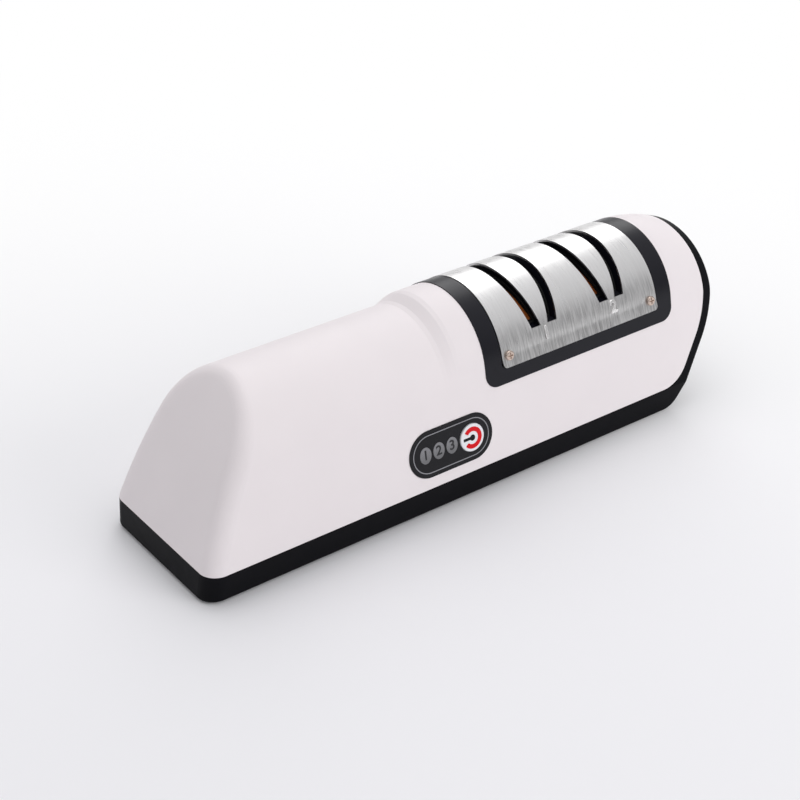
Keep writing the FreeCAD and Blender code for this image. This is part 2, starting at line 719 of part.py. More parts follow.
def socket_form(grow, start, end):
    """The rounded form of the charging socket, grown all round, between two depths along Y."""
    half, radius = PORT_WIDTH / 2 + grow, PORT_HEIGHT / 2 + grow
    points = [V(PORT_X - half, start, PORT_Z - radius), V(PORT_X + half, start, PORT_Z - radius),
              V(PORT_X + half, start, PORT_Z + radius), V(PORT_X - half, start, PORT_Z + radius)]
    return rounded_face(points, [radius * ALMOST] * 4).extrude(V(0, end - start, 0))


def make_head():
    """The black bezel, the steel slot plate, its screws and the two blade guides."""
    skin = head_prism(-BEZEL_PROUD).cut(head_prism(CARRIER))
    bezel = skin.common(saddle(BEZEL_LEFT, BEZEL_RIGHT, BEZEL_BOTTOM, BEZEL_CORNER))
    flange = head_prism(INNER).cut(head_prism(CARRIER))
    flange = flange.common(saddle(BEZEL_LEFT - FLANGE_LAP, BEZEL_RIGHT + FLANGE_LAP,
                                  BEZEL_BOTTOM - FLANGE_LAP, BEZEL_CORNER + FLANGE_LAP))
    bezel = bezel.fuse(flange)
    under_plate = PLATE_PROUD - PLATE_THICKNESS
    plate_left, plate_right = HEAD_X - PLATE_LENGTH / 2, HEAD_X + PLATE_LENGTH / 2
    recess = saddle(plate_left - PLATE_GAP, plate_right + PLATE_GAP, PLATE_BOTTOM - PLATE_GAP,
                    PLATE_CORNER + PLATE_GAP)
    bezel = bezel.cut(recess.cut(head_prism(-under_plate + HOLE_GAP)))
    plate = head_prism(-PLATE_PROUD).cut(head_prism(-under_plate))
    plate = plate.common(saddle(plate_left, plate_right, PLATE_BOTTOM, PLATE_CORNER))
    shank = PLATE_SCREW_SHANK / 2 + HOLE_GAP
    screws = []
    pan = screw(PLATE_SCREW_HEAD / 2, PLATE_SCREW_HEAD_THICKNESS, PLATE_SCREW_SHANK / 2, PLATE_SCREW_LENGTH)
    for point, outwards in plate_screw_seats():
        boss = Part.makeCylinder(PLATE_SCREW_BOSS / 2, PLATE_SCREW_LENGTH, V(0, 0, -PLATE_SCREW_LENGTH))
        bezel = bezel.fuse(placed(boss, point - outwards * (CARRIER / 2), outwards))
        hole = Part.makeCylinder(shank, 4 * PLATE_SCREW_LENGTH, V(0, 0, -2 * PLATE_SCREW_LENGTH))
        bezel = bezel.cut(placed(hole, point, outwards))
        plate = plate.cut(placed(hole, point, outwards))
        screws.append(placed(pan, point + outwards * (HOLE_GAP / 2), outwards))
    for space in slot_spaces(SLOT_RELIEF):
        bezel = bezel.cut(space)
    for space in slot_spaces(0):
        plate = plate.cut(space)
    parts["head_bezel"] = one(bezel)
    parts["slot_plate"] = one(plate)
    parts["plate_screws"] = Part.makeCompound(screws)

    core = head_prism(CARRIER + HOLE_GAP)
    tilt = math.tan(math.radians(SLOT_TILT))
    half = SLOT_PITCH / 2 + SLOT_WIDTH / 2 / math.cos(math.radians(SLOT_TILT)) + GUIDE_WALL
    for name, stage in STAGES.items():
        guide = core.common(block((stage - half, -BODY_WIDTH, GUIDE_BOTTOM),
                                  (stage + half, BODY_WIDTH, HEAD_HEIGHT)))
        for space in slot_spaces(0):
            guide = guide.cut(space)
        window = WHEEL_THICKNESS / 2 + WHEEL_WINDOW_GAP
        wheel = WHEELS[name]
        guide = guide.cut(rod_x(wheel - window, wheel + window, WHEEL_DIAMETER / 2 + WHEEL_TO_GUIDE))
        foot = SLOT_PITCH / 2 - (HEAD_HEIGHT - SLOT_END_HEIGHT) * tilt
        for side in (-1, 1):
            edge = stage + side * (foot + SLOT_WIDTH / 2 + GUIDE_WALL)
            far = stage + side * (half + 1)
            low, high = min(edge, far), max(edge, far)
            points = [V(edge, -BODY_WIDTH, GUIDE_BOTTOM - 1), V(far, -BODY_WIDTH, GUIDE_BOTTOM - 1),
                      V(far, -BODY_WIDTH, HEAD_CENTRE + HEAD_ARC - CARRIER - GUIDE_WALL)]
            guide = guide.cut(rounded_face(points, [0, 0, 0]).extrude(V(0, 2 * BODY_WIDTH, 0)))
        parts[name + "_guide"] = one(guide)


def make_train():
    """Shaft, wheels, hubs, spacers, bushes, blocks and nut."""
    bore = SHAFT_DIAMETER / 2 + RUNNING_GAP
    shaft = rod_x(SHAFT_START, SHAFT_END, SHAFT_DIAMETER / 2)
    parts["drive_shaft"] = shaft.makeChamfer(SHAFT_CHAMFER, round_edges(shaft))
    washers = []
    hub_radius = HUB_DIAMETER / 2
    for name, stage in WHEELS.items():
        face = WHEEL_THICKNESS / 2
        wheel = tube_x(stage - face, stage + face, WHEEL_DIAMETER / 2, hub_radius + HOLE_GAP)
        rims = [edge for edge in round_edges(wheel) if edge.Curve.Radius > hub_radius * 2]
        parts[name + "_wheel"] = wheel.makeChamfer(WHEEL_CHAMFER, rims)
        hub = tube_x(stage - HUB_LENGTH / 2, stage + HUB_LENGTH / 2, hub_radius, bore)
        flange_start = stage + face + HOLE_GAP
        flange_end = flange_start + HUB_FLANGE_THICKNESS
        hub = hub.fuse(tube_x(flange_start, flange_end, HUB_FLANGE_DIAMETER / 2, bore))
        parts[name + "_hub"] = one(hub)
        washer_end = stage - face - HOLE_GAP
        washers.append(tube_x(washer_end - HUB_FLANGE_THICKNESS, washer_end, HUB_FLANGE_DIAMETER / 2,
                              hub_radius + HOLE_GAP))
    parts["wheel_washers"] = Part.makeCompound(washers)

    stops = [LEFT_BLOCK + BLOCK_THICKNESS]
    for stage in WHEELS.values():
        stops += [stage - HUB_LENGTH / 2, stage + HUB_LENGTH / 2]
    stops.append(RIGHT_BLOCK)
    spacers = [tube_x(stops[i] + 2 * HOLE_GAP, stops[i + 1] - 2 * HOLE_GAP, SPACER_DIAMETER / 2, bore)
               for i in (0, 2, 4)]
    parts["shaft_spacers"] = Part.makeCompound(spacers)

    for name, start in (("left", LEFT_BLOCK), ("right", RIGHT_BLOCK)):
        end = start + BLOCK_THICKNESS
        parts[name + "_bush"] = tube_x(start, end, BUSH_DIAMETER / 2, bore)
        parts[name + "_bearing_block"] = bearing_block(start)

    nut_start = RIGHT_BLOCK + BLOCK_THICKNESS + 4 * HOLE_GAP
    hexagon = [V(nut_start, NUT_ACROSS_FLATS / math.sqrt(3) * math.cos(math.radians(60 * i)),
                 AXIS_HEIGHT + NUT_ACROSS_FLATS / math.sqrt(3) * math.sin(math.radians(60 * i)))
               for i in range(6)]
    nut = rounded_face(hexagon, [0] * 6).extrude(V(NUT_THICKNESS, 0, 0))
    parts["lock_nut"] = nut.cut(rod_x(nut_start - 1, nut_start + NUT_THICKNESS + 1, bore))


def foot_tabs(x_low, x_high, width, places):
    """The two tabs at the foot of a block or cradle, with their screw holes."""
    reach = width / 2 + BLOCK_FOOT_LENGTH
    tabs = block((x_low, -reach, BLOCK_FOOT_LEVEL), (x_high, reach, BLOCK_FOOT_LEVEL + BLOCK_FOOT_THICKNESS))
    for x, y in places:
        tabs = tabs.cut(rod_z(x, y, 0, HEAD_HEIGHT, BLOCK_SCREW / 2 + HOLE_GAP))
    return tabs


def bearing_block(start):
    """An upright that holds one bush, standing on two screwed tabs."""
    end = start + BLOCK_THICKNESS
    upright = block((start, -BLOCK_WIDTH / 2, BLOCK_FOOT_LEVEL), (end, BLOCK_WIDTH / 2, AXIS_HEIGHT))
    shape = upright.fuse(rod_x(start, end, BLOCK_HEAD / 2))
    shape = shape.fuse(foot_tabs(start, end, BLOCK_WIDTH, block_screw_places(start)))
    waist = block((start - 1, BLOCK_HEAD / 2, AXIS_HEIGHT - BLOCK_HEAD / 2),
                  (end + 1, BLOCK_WIDTH, AXIS_HEIGHT + 1))
    shape = shape.cut(waist).cut(waist.mirror(V(), V(0, 1, 0)))
    return one(shape.cut(rod_x(start - 1, end + 1, BUSH_DIAMETER / 2 + HOLE_GAP / 2)))


def make_motor():
    """Motor can, end cap, magnets, rotor, coupling, cradle, strap and their screws."""
    radius = MOTOR_DIAMETER / 2
    can_end = MOTOR_FRONT
    can_start = can_end - MOTOR_CAN_LENGTH
    can = rod_x(can_start, can_end, radius)
    can = can.cut(rod_x(can_start - PAST, can_end - MOTOR_WALL, radius - MOTOR_WALL))
    can = can.fuse(rod_x(can_end - MOTOR_WALL, can_end + MOTOR_NOSE_LENGTH, MOTOR_NOSE_DIAMETER / 2))
    shaft_hole = MOTOR_SHAFT_DIAMETER / 2 + RUNNING_GAP
    parts["motor_can"] = one(can.cut(rod_x(can_start, can_end + MOTOR_NOSE_LENGTH + PAST, shaft_hole)))

    cap_start = can_start - END_CAP_LENGTH
    cap = rod_x(cap_start, can_start, radius)
    cap = cap.fuse(rod_x(cap_start - MOTOR_NOSE_LENGTH, cap_start, MOTOR_NOSE_DIAMETER / 2))
    for side in (-1, 1):
        middle = side * TERMINAL_SPREAD / 2
        low = (cap_start - TERMINAL_LENGTH, middle - TERMINAL_WIDTH / 2, AXIS_HEIGHT - TERMINAL_THICKNESS / 2)
        high = (cap_start, middle + TERMINAL_WIDTH / 2, AXIS_HEIGHT + TERMINAL_THICKNESS / 2)
        cap = cap.fuse(block(low, high))
    cap = cap.cut(rod_x(cap_start + MOTOR_WALL, can_start + PAST, COMMUTATOR_DIAMETER / 2 + BRUSH_SPACE))
    parts["motor_end_cap"] = one(cap.cut(rod_x(cap_start - MOTOR_NOSE_LENGTH - PAST, can_start, shaft_hole)))

    inner = radius - MOTOR_WALL - HOLE_GAP
    magnet_start = can_start + COMMUTATOR_LENGTH - END_CAP_LENGTH + MAGNET_END_GAP
    magnet_end = can_end - MOTOR_WALL - MAGNET_END_GAP
    ring = tube_x(magnet_start, magnet_end, inner, inner - MAGNET_THICKNESS)
    split = block((magnet_start - PAST, -MAGNET_SPLIT / 2, AXIS_HEIGHT - radius),
                  (magnet_end + PAST, MAGNET_SPLIT / 2, AXIS_HEIGHT + radius))
    parts["motor_magnets"] = ring.cut(split)

    core_end = magnet_end - ROTOR_SETBACK
    core_start = core_end - ROTOR_LENGTH
    rotor = rod_x(cap_start - ROTOR_STUB, MOTOR_FRONT + MOTOR_SHAFT_STICKOUT, MOTOR_SHAFT_DIAMETER / 2)
    core = rod_x(core_start, core_end, inner - MAGNET_THICKNESS - ROTOR_GAP)
    for turn in range(0, 360, 120):
        slot = block((core_start - PAST, -ROTOR_SLOT / 2, AXIS_HEIGHT + COMMUTATOR_DIAMETER / 2),
                     (core_end + PAST, ROTOR_SLOT / 2, AXIS_HEIGHT + radius))
        slot.rotate(V(0, 0, AXIS_HEIGHT), V(1, 0, 0), turn)
        core = core.cut(slot)
    rotor = rotor.fuse(core)
    rotor = rotor.fuse(rod_x(cap_start + MOTOR_WALL + ROTOR_GAP, core_start, COMMUTATOR_DIAMETER / 2))
    parts["motor_rotor"] = one(rotor)

    joint = (SHAFT_START + MOTOR_FRONT + MOTOR_SHAFT_STICKOUT) / 2
    coupling = rod_x(joint - COUPLING_LENGTH / 2, joint + COUPLING_LENGTH / 2, COUPLING_DIAMETER / 2)
    coupling = coupling.makeChamfer(COUPLING_CHAMFER, round_edges(coupling))
    coupling = coupling.cut(rod_x(joint - COUPLING_LENGTH, joint, MOTOR_SHAFT_DIAMETER / 2 + RUNNING_GAP))
    shaft_bore = SHAFT_DIAMETER / 2 + RUNNING_GAP
    coupling = coupling.cut(rod_x(joint - COUPLING_GAP, joint + COUPLING_LENGTH, shaft_bore))
    parts["shaft_coupling"] = one(coupling)

    make_cradle()


def make_cradle():
    """The cradle and strap that hold the motor, and the screws of strap, cradle and blocks."""
    bore = MOTOR_DIAMETER / 2 + HOLE_GAP
    ring_radius = MOTOR_DIAMETER / 2 + CRADLE_WALL
    ear_end = ring_radius + CRADLE_EAR
    low_x, high_x = CRADLE_START - PAST, CRADLE_END + PAST
    cradle = rod_x(CRADLE_START, CRADLE_END, ring_radius)
    cradle = cradle.cut(block((low_x, -ear_end, AXIS_HEIGHT), (high_x, ear_end, HEAD_HEIGHT)))
    cradle = cradle.fuse(block((CRADLE_START, -ear_end, AXIS_HEIGHT - CRADLE_EAR_HEIGHT),
                               (CRADLE_END, ear_end, AXIS_HEIGHT)))
    cradle = cradle.fuse(block((CRADLE_START, -BLOCK_WIDTH / 2, BLOCK_FOOT_LEVEL),
                               (CRADLE_END, BLOCK_WIDTH / 2, AXIS_HEIGHT - bore)))
    cradle = cradle.fuse(foot_tabs(CRADLE_START, CRADLE_END, BLOCK_WIDTH, cradle_screw_places()))
    ear_y = ear_end - CRADLE_EAR / 2
    ear_x = (CRADLE_START + CRADLE_END) / 2
    hole = BLOCK_SCREW / 2 + HOLE_GAP
    strap_low = AXIS_HEIGHT + HOLE_GAP
    strap = tube_x(CRADLE_START, CRADLE_END, bore + STRAP_THICKNESS, bore)
    strap = strap.cut(block((low_x, -ear_end, 0), (high_x, ear_end, strap_low)))
    for side in (-1, 1):
        cradle = cradle.cut(rod_z(ear_x, side * ear_y, 0, HEAD_HEIGHT, hole))
        low, high = sorted((side * (bore + STRAP_THICKNESS / 2), side * ear_end))
        strap = strap.fuse(block((CRADLE_START, low, strap_low), (CRADLE_END, high, strap_low + STRAP_EAR_HEIGHT)))
        strap = strap.cut(rod_z(ear_x, side * ear_y, 0, HEAD_HEIGHT, hole))
    parts["motor_cradle"] = one(cradle.cut(rod_x(low_x, high_x, bore)))
    parts["motor_strap"] = one(strap.cut(rod_x(low_x, high_x, bore)))
    pan = screw(BLOCK_SCREW_HEAD / 2, BLOCK_SCREW_HEAD_HEIGHT, BLOCK_SCREW / 2, BLOCK_SCREW_LENGTH)
    strap_top = strap_low + HOLE_GAP + STRAP_EAR_HEIGHT
    short = screw(BLOCK_SCREW_HEAD / 2, BLOCK_SCREW_HEAD_HEIGHT, BLOCK_SCREW / 2,
                  STRAP_EAR_HEIGHT + CRADLE_EAR_HEIGHT)
    parts["strap_screws"] = Part.makeCompound(
        [placed(short, V(ear_x, side * ear_y, strap_top), V(0, 0, 1)) for side in (-1, 1)])
    tab_top = BLOCK_FOOT_LEVEL + BLOCK_FOOT_THICKNESS + HOLE_GAP
    places = block_screw_places(LEFT_BLOCK) + block_screw_places(RIGHT_BLOCK) + cradle_screw_places()
    parts["block_screws"] = Part.makeCompound([placed(pan, V(x, y, tab_top), V(0, 0, 1)) for x, y in places])


def make_battery():
    """Two cells in a tray, with a contact plate at each end."""
    radius = CELL_DIAMETER / 2
    spread = radius + CELL_GAP / 2
    cells = []
    for side in (-1, 1):
        shoulder = CELL_END - CELL_TIP
        cell = rod_x(CELL_START, shoulder, radius, side * spread, CELL_AXIS)
        cell = cell.makeFillet(CELL_EDGE, round_edges(cell))
        tip = rod_x(shoulder - HOLE_GAP, CELL_END, CELL_TIP_DIAMETER / 2, side * spread, CELL_AXIS)
        cells.append(cell.fuse(tip).removeSplitter())
    parts["battery_cells"] = Part.makeCompound(cells)

    gap = CONTACT_THICKNESS + 2 * HOLE_GAP
    half = spread + radius + HOLE_GAP
    low_x, high_x = CELL_START - gap, CELL_END + gap
    tray = block((low_x - TRAY_WALL, -half - TRAY_WALL, BASE_FLOOR + HOLE_GAP),
                 (high_x + TRAY_WALL, half + TRAY_WALL, CELL_AXIS))
    tray = tray.cut(block((low_x, -half, CELL_AXIS - radius / 2), (high_x, half, CELL_AXIS + PAST)))
    for side in (-1, 1):
        tray = tray.cut(rod_x(low_x, high_x, radius + HOLE_GAP, side * spread, CELL_AXIS))
    parts["battery_tray"] = one(tray)

    contacts = []
    for x in (CELL_START - HOLE_GAP - CONTACT_THICKNESS, CELL_END + HOLE_GAP):
        for side in (-1, 1):
            y = side * spread
            contacts.append(block((x, y - CONTACT_WIDTH / 2, CELL_AXIS - radius / 2 + HOLE_GAP),
                                  (x + CONTACT_THICKNESS, y + CONTACT_WIDTH / 2, CELL_AXIS + radius / 2)))
    parts["battery_contacts"] = Part.makeCompound(contacts)


def make_panel():
    """Control panel, windows, power button with its inlays, switch, lights and board."""
    back = -PANEL_DEPTH
    flange_back = back - PANEL_FLANGE_THICKNESS
    panel = stadium(PANEL_LENGTH, PANEL_HEIGHT, back, PANEL_PROUD)
    panel = panel.fuse(stadium(PANEL_LENGTH + 2 * PANEL_FLANGE, PANEL_HEIGHT + 2 * PANEL_FLANGE,
                               flange_back, back))
    button_hole = BUTTON_DIAMETER / 2 + BUTTON_GAP
    flange_hole = BUTTON_FLANGE_DIAMETER / 2 + BUTTON_GAP
    panel = panel.cut(disc(BUTTON_X, button_hole, flange_back - 1, PANEL_PROUD + 1))
    panel = panel.cut(disc(BUTTON_X, flange_hole, flange_back - 1, -BUTTON_SEAT))
    windows = []
    for x in window_places():
        panel = panel.cut(oval(x, WINDOW_WIDTH, WINDOW_HEIGHT, flange_back - 1, PANEL_PROUD + 1))
        windows.append(on_panel(oval(x, WINDOW_WIDTH - 2 * WINDOW_GAP, WINDOW_HEIGHT - 2 * WINDOW_GAP,
                                     flange_back, PANEL_PROUD)))
    screw_hole = BOARD_SCREW_DIAMETER / 2 + HOLE_GAP
    for x in BOARD_POSTS:
        panel = panel.fuse(disc(x, BOARD_POST_DIAMETER / 2, -BOARD_DEPTH, flange_back))
        panel = panel.cut(disc(x, screw_hole, -BOARD_DEPTH - 1, -BOARD_DEPTH + BOARD_SCREW_LENGTH))
    parts["control_panel"] = one(on_panel(panel))
    parts["status_windows"] = Part.makeCompound(windows)

    top = PANEL_PROUD + BUTTON_PROUD
    cap = disc(BUTTON_X, BUTTON_DIAMETER / 2, -BUTTON_SEAT - BUTTON_GAP / 2, top)
    rim = [edge for edge in round_edges(cap) if edge.Curve.Center.z > 0]
    cap = cap.makeFillet(BUTTON_EDGE, rim)
    seat = -BUTTON_SEAT - BUTTON_GAP / 2
    cap = cap.fuse(disc(BUTTON_X, BUTTON_FLANGE_DIAMETER / 2, seat - BUTTON_FLANGE_THICKNESS, seat))
    cap = cap.fuse(disc(BUTTON_X, STEM_DIAMETER / 2, -STEM_END, seat))
    floor = top - INLAY_DEPTH
    ring = disc(BUTTON_X, RING_RADIUS, floor, top + INLAY_PROUD)
    ring = ring.cut(disc(BUTTON_X, RING_RADIUS - RING_STROKE, floor - 1, top + 1))
    half = math.radians(RING_OPENING)
    far = 2 * RING_RADIUS
    wedge = rounded_face([V(BUTTON_X, 0, floor - 1),
                          V(BUTTON_X - far * math.cos(half), far * math.sin(half), floor - 1),
                          V(BUTTON_X - far * math.cos(half), -far * math.sin(half), floor - 1)], [0, 0, 0])
    ring = ring.cut(wedge.extrude(V(0, 0, 3)))
    mark = disc(BUTTON_X, MARK_DOT_RADIUS, floor, top + INLAY_PROUD)
    mark = mark.fuse(Part.makeBox(MARK_BAR_LENGTH, MARK_BAR_WIDTH, top + INLAY_PROUD - floor,
                                  V(BUTTON_X - MARK_BAR_LENGTH, -MARK_BAR_WIDTH / 2, floor)))
    cap = cap.cut(ring).cut(mark)
    parts["power_button"] = one(on_panel(cap))
    parts["button_ring"] = one(on_panel(ring))
    parts["button_mark"] = one(on_panel(mark))

    board_x = PANEL_LENGTH / 2 + BOARD_POST_FROM_END
    board = Part.makeBox(2 * board_x, BOARD_HEIGHT, BOARD_THICKNESS,
                         V(-board_x, -BOARD_HEIGHT / 2, -BOARD_DEPTH - BOARD_THICKNESS))
    screws = []
    shape = screw(BOARD_SCREW_HEAD / 2, BOARD_SCREW_HEAD_HEIGHT, BOARD_SCREW_DIAMETER / 2, BOARD_SCREW_LENGTH)
    for x in BOARD_POSTS:
        board = board.cut(disc(x, screw_hole, -BOARD_DEPTH - BOARD_THICKNESS - 1, 0))
        seat_point = V(x, 0, -BOARD_DEPTH - BOARD_THICKNESS - HOLE_GAP / 2)
        screws.append(on_panel(placed(shape, seat_point, V(0, 0, -1))))
    parts["control_board"] = one(on_panel(board))
    parts["board_screws"] = Part.makeCompound(screws)

    switch_top = -BOARD_DEPTH + SWITCH_HEIGHT
    side = SWITCH_SIDE / 2
    switch = Part.makeBox(2 * side, 2 * side, SWITCH_HEIGHT, V(BUTTON_X - side, -side, -BOARD_DEPTH))
    plunger_end = switch_top - BUTTON_TRAVEL / 2
    switch = switch.cut(disc(BUTTON_X, PLUNGER_DIAMETER / 2 + PLUNGER_GAP,
                             plunger_end - BUTTON_TRAVEL - 2 * HOLE_GAP, switch_top + 1))
    parts["tact_switch"] = one(on_panel(switch))
    plunger = disc(BUTTON_X, PLUNGER_DIAMETER / 2, plunger_end, -STEM_END - HOLE_GAP / 2)
    parts["switch_plunger"] = one(on_panel(plunger))
    lights = [on_panel(Part.makeBox(LIGHT_SIDE, LIGHT_SIDE, LIGHT_HEIGHT,
                                    V(x - LIGHT_SIDE / 2, -LIGHT_SIDE / 2, -BOARD_DEPTH)))
              for x in window_places()]
    parts["status_lights"] = Part.makeCompound(lights)


def make_port():
    """The charging socket and its small board on the base's floor."""
    drop = (SEAM_HEIGHT - PORT_Z) / (SEAM_HEIGHT - FOOT_HEIGHT)
    outer_y = BODY_WIDTH / 2 - BASE_TAPER * drop - PORT_RECESS
    inner_y = outer_y - PORT_DEPTH
    socket = socket_form(0, inner_y, outer_y).cut(socket_form(-PORT_WALL, inner_y + PAST, outer_y + PAST))
    tongue = block((PORT_X - PORT_WIDTH / 3, inner_y, PORT_Z - PORT_TONGUE / 2),
                   (PORT_X + PORT_WIDTH / 3, outer_y - PORT_TONGUE_RECESS, PORT_Z + PORT_TONGUE / 2))
    parts["charging_socket"] = one(socket.fuse(tongue))
    board_top = PORT_Z - PORT_HEIGHT / 2
    board_back = outer_y - WALL - PORT_BOARD_GAP
    parts["charging_board"] = block((PORT_X - PORT_BOARD_LENGTH / 2, board_back - PORT_BOARD_DEPTH,
                                     board_top - PORT_BOARD_THICKNESS),
                                    (PORT_X + PORT_BOARD_LENGTH / 2, board_back, board_top))


def make_feet_and_case_screws():
    """The four feet and the four long screws that hold the shells together."""
    feet = []
    for x, y in foot_places():
        foot = rod_z(x, y, 0, FOOT_HEIGHT + FOOT_RECESS, FOOT_DIAMETER / 2)
        rim = [edge for edge in round_edges(foot) if edge.Curve.Center.z < FOOT_HEIGHT]
        feet.append(foot.makeChamfer(FOOT_CHAMFER, rim))
    parts["rubber_feet"] = Part.makeCompound(feet)
    pan = screw(CASE_SCREW_HEAD / 2, CASE_SCREW_HEAD_HEIGHT, CASE_SCREW / 2, CASE_SCREW_LENGTH)
    parts["case_screws"] = Part.makeCompound(
        [placed(pan, V(x, y, COUNTERBORE_FLOOR - HOLE_GAP), V(0, 0, -1)) for x, y in case_screw_places()])


make_shells()
make_head()
make_train()
make_motor()
make_battery()
make_panel()
make_port()
make_feet_and_case_screws()

os.makedirs("parts", exist_ok=True)
for name, shape in parts.items():
    shape.exportStep("parts/" + name + ".step")
    print(name, "solids", len(shape.Solids), "valid", shape.isValid(), "volume", round(shape.Volume, 1))
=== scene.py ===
"""Looks of a cordless two-stage knife sharpener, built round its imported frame.

Lengths are in metres. +X runs from the handle to the sharpening head, the control panel
faces -Y, and +Z is up from the worktop.
"""
from __future__ import annotations

import json
import logging
import math
from dataclasses import dataclass, field
from enum import Enum
from typing import Any, Callable, Mapping, Sequence, Union

import bpy
from mathutils import Matrix, Vector

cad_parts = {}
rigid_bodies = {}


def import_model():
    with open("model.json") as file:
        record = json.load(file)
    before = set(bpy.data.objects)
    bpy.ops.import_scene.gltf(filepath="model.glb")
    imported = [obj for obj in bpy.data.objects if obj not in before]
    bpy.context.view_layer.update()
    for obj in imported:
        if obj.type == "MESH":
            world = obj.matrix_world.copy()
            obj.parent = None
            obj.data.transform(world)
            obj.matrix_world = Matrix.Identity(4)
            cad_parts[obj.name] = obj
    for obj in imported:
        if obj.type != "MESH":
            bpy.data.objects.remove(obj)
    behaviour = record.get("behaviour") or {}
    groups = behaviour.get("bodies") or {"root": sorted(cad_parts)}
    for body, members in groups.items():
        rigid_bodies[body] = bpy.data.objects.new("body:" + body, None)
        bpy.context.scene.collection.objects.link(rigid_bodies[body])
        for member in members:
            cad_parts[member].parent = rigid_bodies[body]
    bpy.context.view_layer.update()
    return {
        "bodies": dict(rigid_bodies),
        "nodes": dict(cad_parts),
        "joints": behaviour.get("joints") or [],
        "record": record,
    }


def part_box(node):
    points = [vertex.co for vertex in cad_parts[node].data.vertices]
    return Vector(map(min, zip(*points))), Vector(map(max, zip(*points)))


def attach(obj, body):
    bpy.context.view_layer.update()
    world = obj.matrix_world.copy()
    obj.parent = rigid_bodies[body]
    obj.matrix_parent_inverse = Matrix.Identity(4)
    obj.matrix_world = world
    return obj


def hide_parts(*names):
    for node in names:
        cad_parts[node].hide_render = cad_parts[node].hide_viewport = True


Triple = tuple[float, float, float]
Colour = Triple
Range = tuple[float, float]
Number = Union[float, "Value"]

LOG = logging.getLogger("sharpener")
MM = 0.001
# The arch over the head, as in the part's source.
ARCH_RADIUS = 26.0 * MM
ARCH_HEIGHT = 42.0 * MM
# The part of a noise's range that most tones and roughnesses follow.
MIDDLE: Range = (0.3, 0.7)
# The height of a capital, as a share of the built-in font's size.
CAPITAL_SHARE = 0.7
CHARACTER_EDGE_STEPS = 2


class Body(Enum):
    """The rigid bodies that pieces ride on."""

    HOUSING = "housing"
    BUTTON = "button"


class Axis(Enum):
    """The direction in which a metal was brushed or turned, as noise stretch per axis."""

    ROUND_X = (1.0, 0.02, 0.02)
    ROUND_Z = (0.3, 0.3, 1.0)


class Value:
    """A number socket of a shader that Python's operators work on."""

    def __init__(self, sheet: "NodeSheet", socket: bpy.types.NodeSocket) -> None:
        """Keeps the socket and the sheet that it belongs to."""
        self.sheet = sheet
        self.socket = socket

    def _maths(self, operation: str, left: Number, right: Number) -> "Value":
        """Adds one Math node.

        Args:
            operation: The Math node's operation.
            left: The first number.
            right: The second number.

        Returns:
            The node's result.
        """
        node = self.sheet.node("ShaderNodeMath", {"operation": operation}, {0: left, 1: right})
        return Value(self.sheet, node.outputs[0])

    def __add__(self, other: Number) -> "Value":
        """Sum."""
        return self._maths("ADD", self, other)

    def __rsub__(self, other: Number) -> "Value":
        """Difference, reflected."""
        return self._maths("SUBTRACT", other, self)

    def __mul__(self, other: Number) -> "Value":
        """Product."""
        return self._maths("MULTIPLY", self, other)

    def __gt__(self, other: Number) -> "Value":
        """One where this is greater than the other, and zero elsewhere."""
        return self._maths("GREATER_THAN", self, other)

    def most(self, other: Number) -> "Value":
        """The larger of the two."""
        return self._maths("MAXIMUM", self, other)

    def spread(self, low: float, high: float, start: float = 0.0, end: float = 1.0) -> "Value":
        """Carries low..high over to start..end, smoothly and without going past either.

        Args:
            low: The input that gives start.
            high: The input that gives end.
            start: The result at low.
            end: The result at high.

        Returns:
            The carried-over number.
        """
        inputs = {"Value": self, "From Min": low, "From Max": high, "To Min": start, "To Max": end}
        node = self.sheet.node("ShaderNodeMapRange", {"interpolation_type": "SMOOTHSTEP"}, inputs)
        return Value(self.sheet, node.outputs[0])

    def share_of(self, level: float, shares: Range, part: Range = MIDDLE) -> "Value":
        """Carries part of this range over to two shares of a level."""
        return self.spread(*part, level * shares[0], level * shares[1])


class NodeSheet:
    """A node tree with one way to add a node to it."""

    def __init__(self, tree: bpy.types.NodeTree) -> None:
        """Takes a tree and empties it."""
        self.tree = tree
        self.tree.nodes.clear()

    def node(self, kind: str, settings: Mapping[str, Any], inputs: Mapping[Any, Any]) -> bpy.types.Node:
        """Adds a node.

        Args:
            kind: The node's type.
            settings: Its properties; "stops" gives a ramp's (place, colour) pairs.
            inputs: The value or link of each socket, by name or number.

        Returns:
            The node.
        """
        node = self.tree.nodes.new(kind)
        for key, value in settings.items():
            if key == "stops":
                self._set_stops(node.color_ramp, value)
            else:
                setattr(node, key, value)
        for key, value in inputs.items():
            self.feed(node.inputs[key], value)
        return node

    def _set_stops(self, ramp: bpy.types.ColorRamp, stops: Sequence[tuple[float, Colour]]) -> None:
        """Gives a ramp its stops."""
        while len(ramp.elements) < len(stops):
            ramp.elements.new(1.0)
        for element, (place, colour) in zip(ramp.elements, stops):
            element.position = place
            element.color = (*colour, 1.0)

    def feed(self, socket: bpy.types.NodeSocket, value: Any) -> None:
        """Links a socket to a value of the shader, or sets it to a plain one."""
        if isinstance(value, Value):
            self.tree.links.new(value.socket, socket)
        elif isinstance(value, bpy.types.NodeSocket):
            self.tree.links.new(value, socket)
        elif socket.type == "RGBA":
            socket.default_value = (*value, 1.0)
        else:
            socket.default_value = value

    def mixed(self, share: Any, first: bpy.types.NodeSocket,
              second: bpy.types.NodeSocket) -> bpy.types.NodeSocket:
        """The first shader where share is 0, and the second where it is 1."""
        return self.node("ShaderNodeMixShader", {}, {0: share, 1: first, 2: second}).outputs[0]


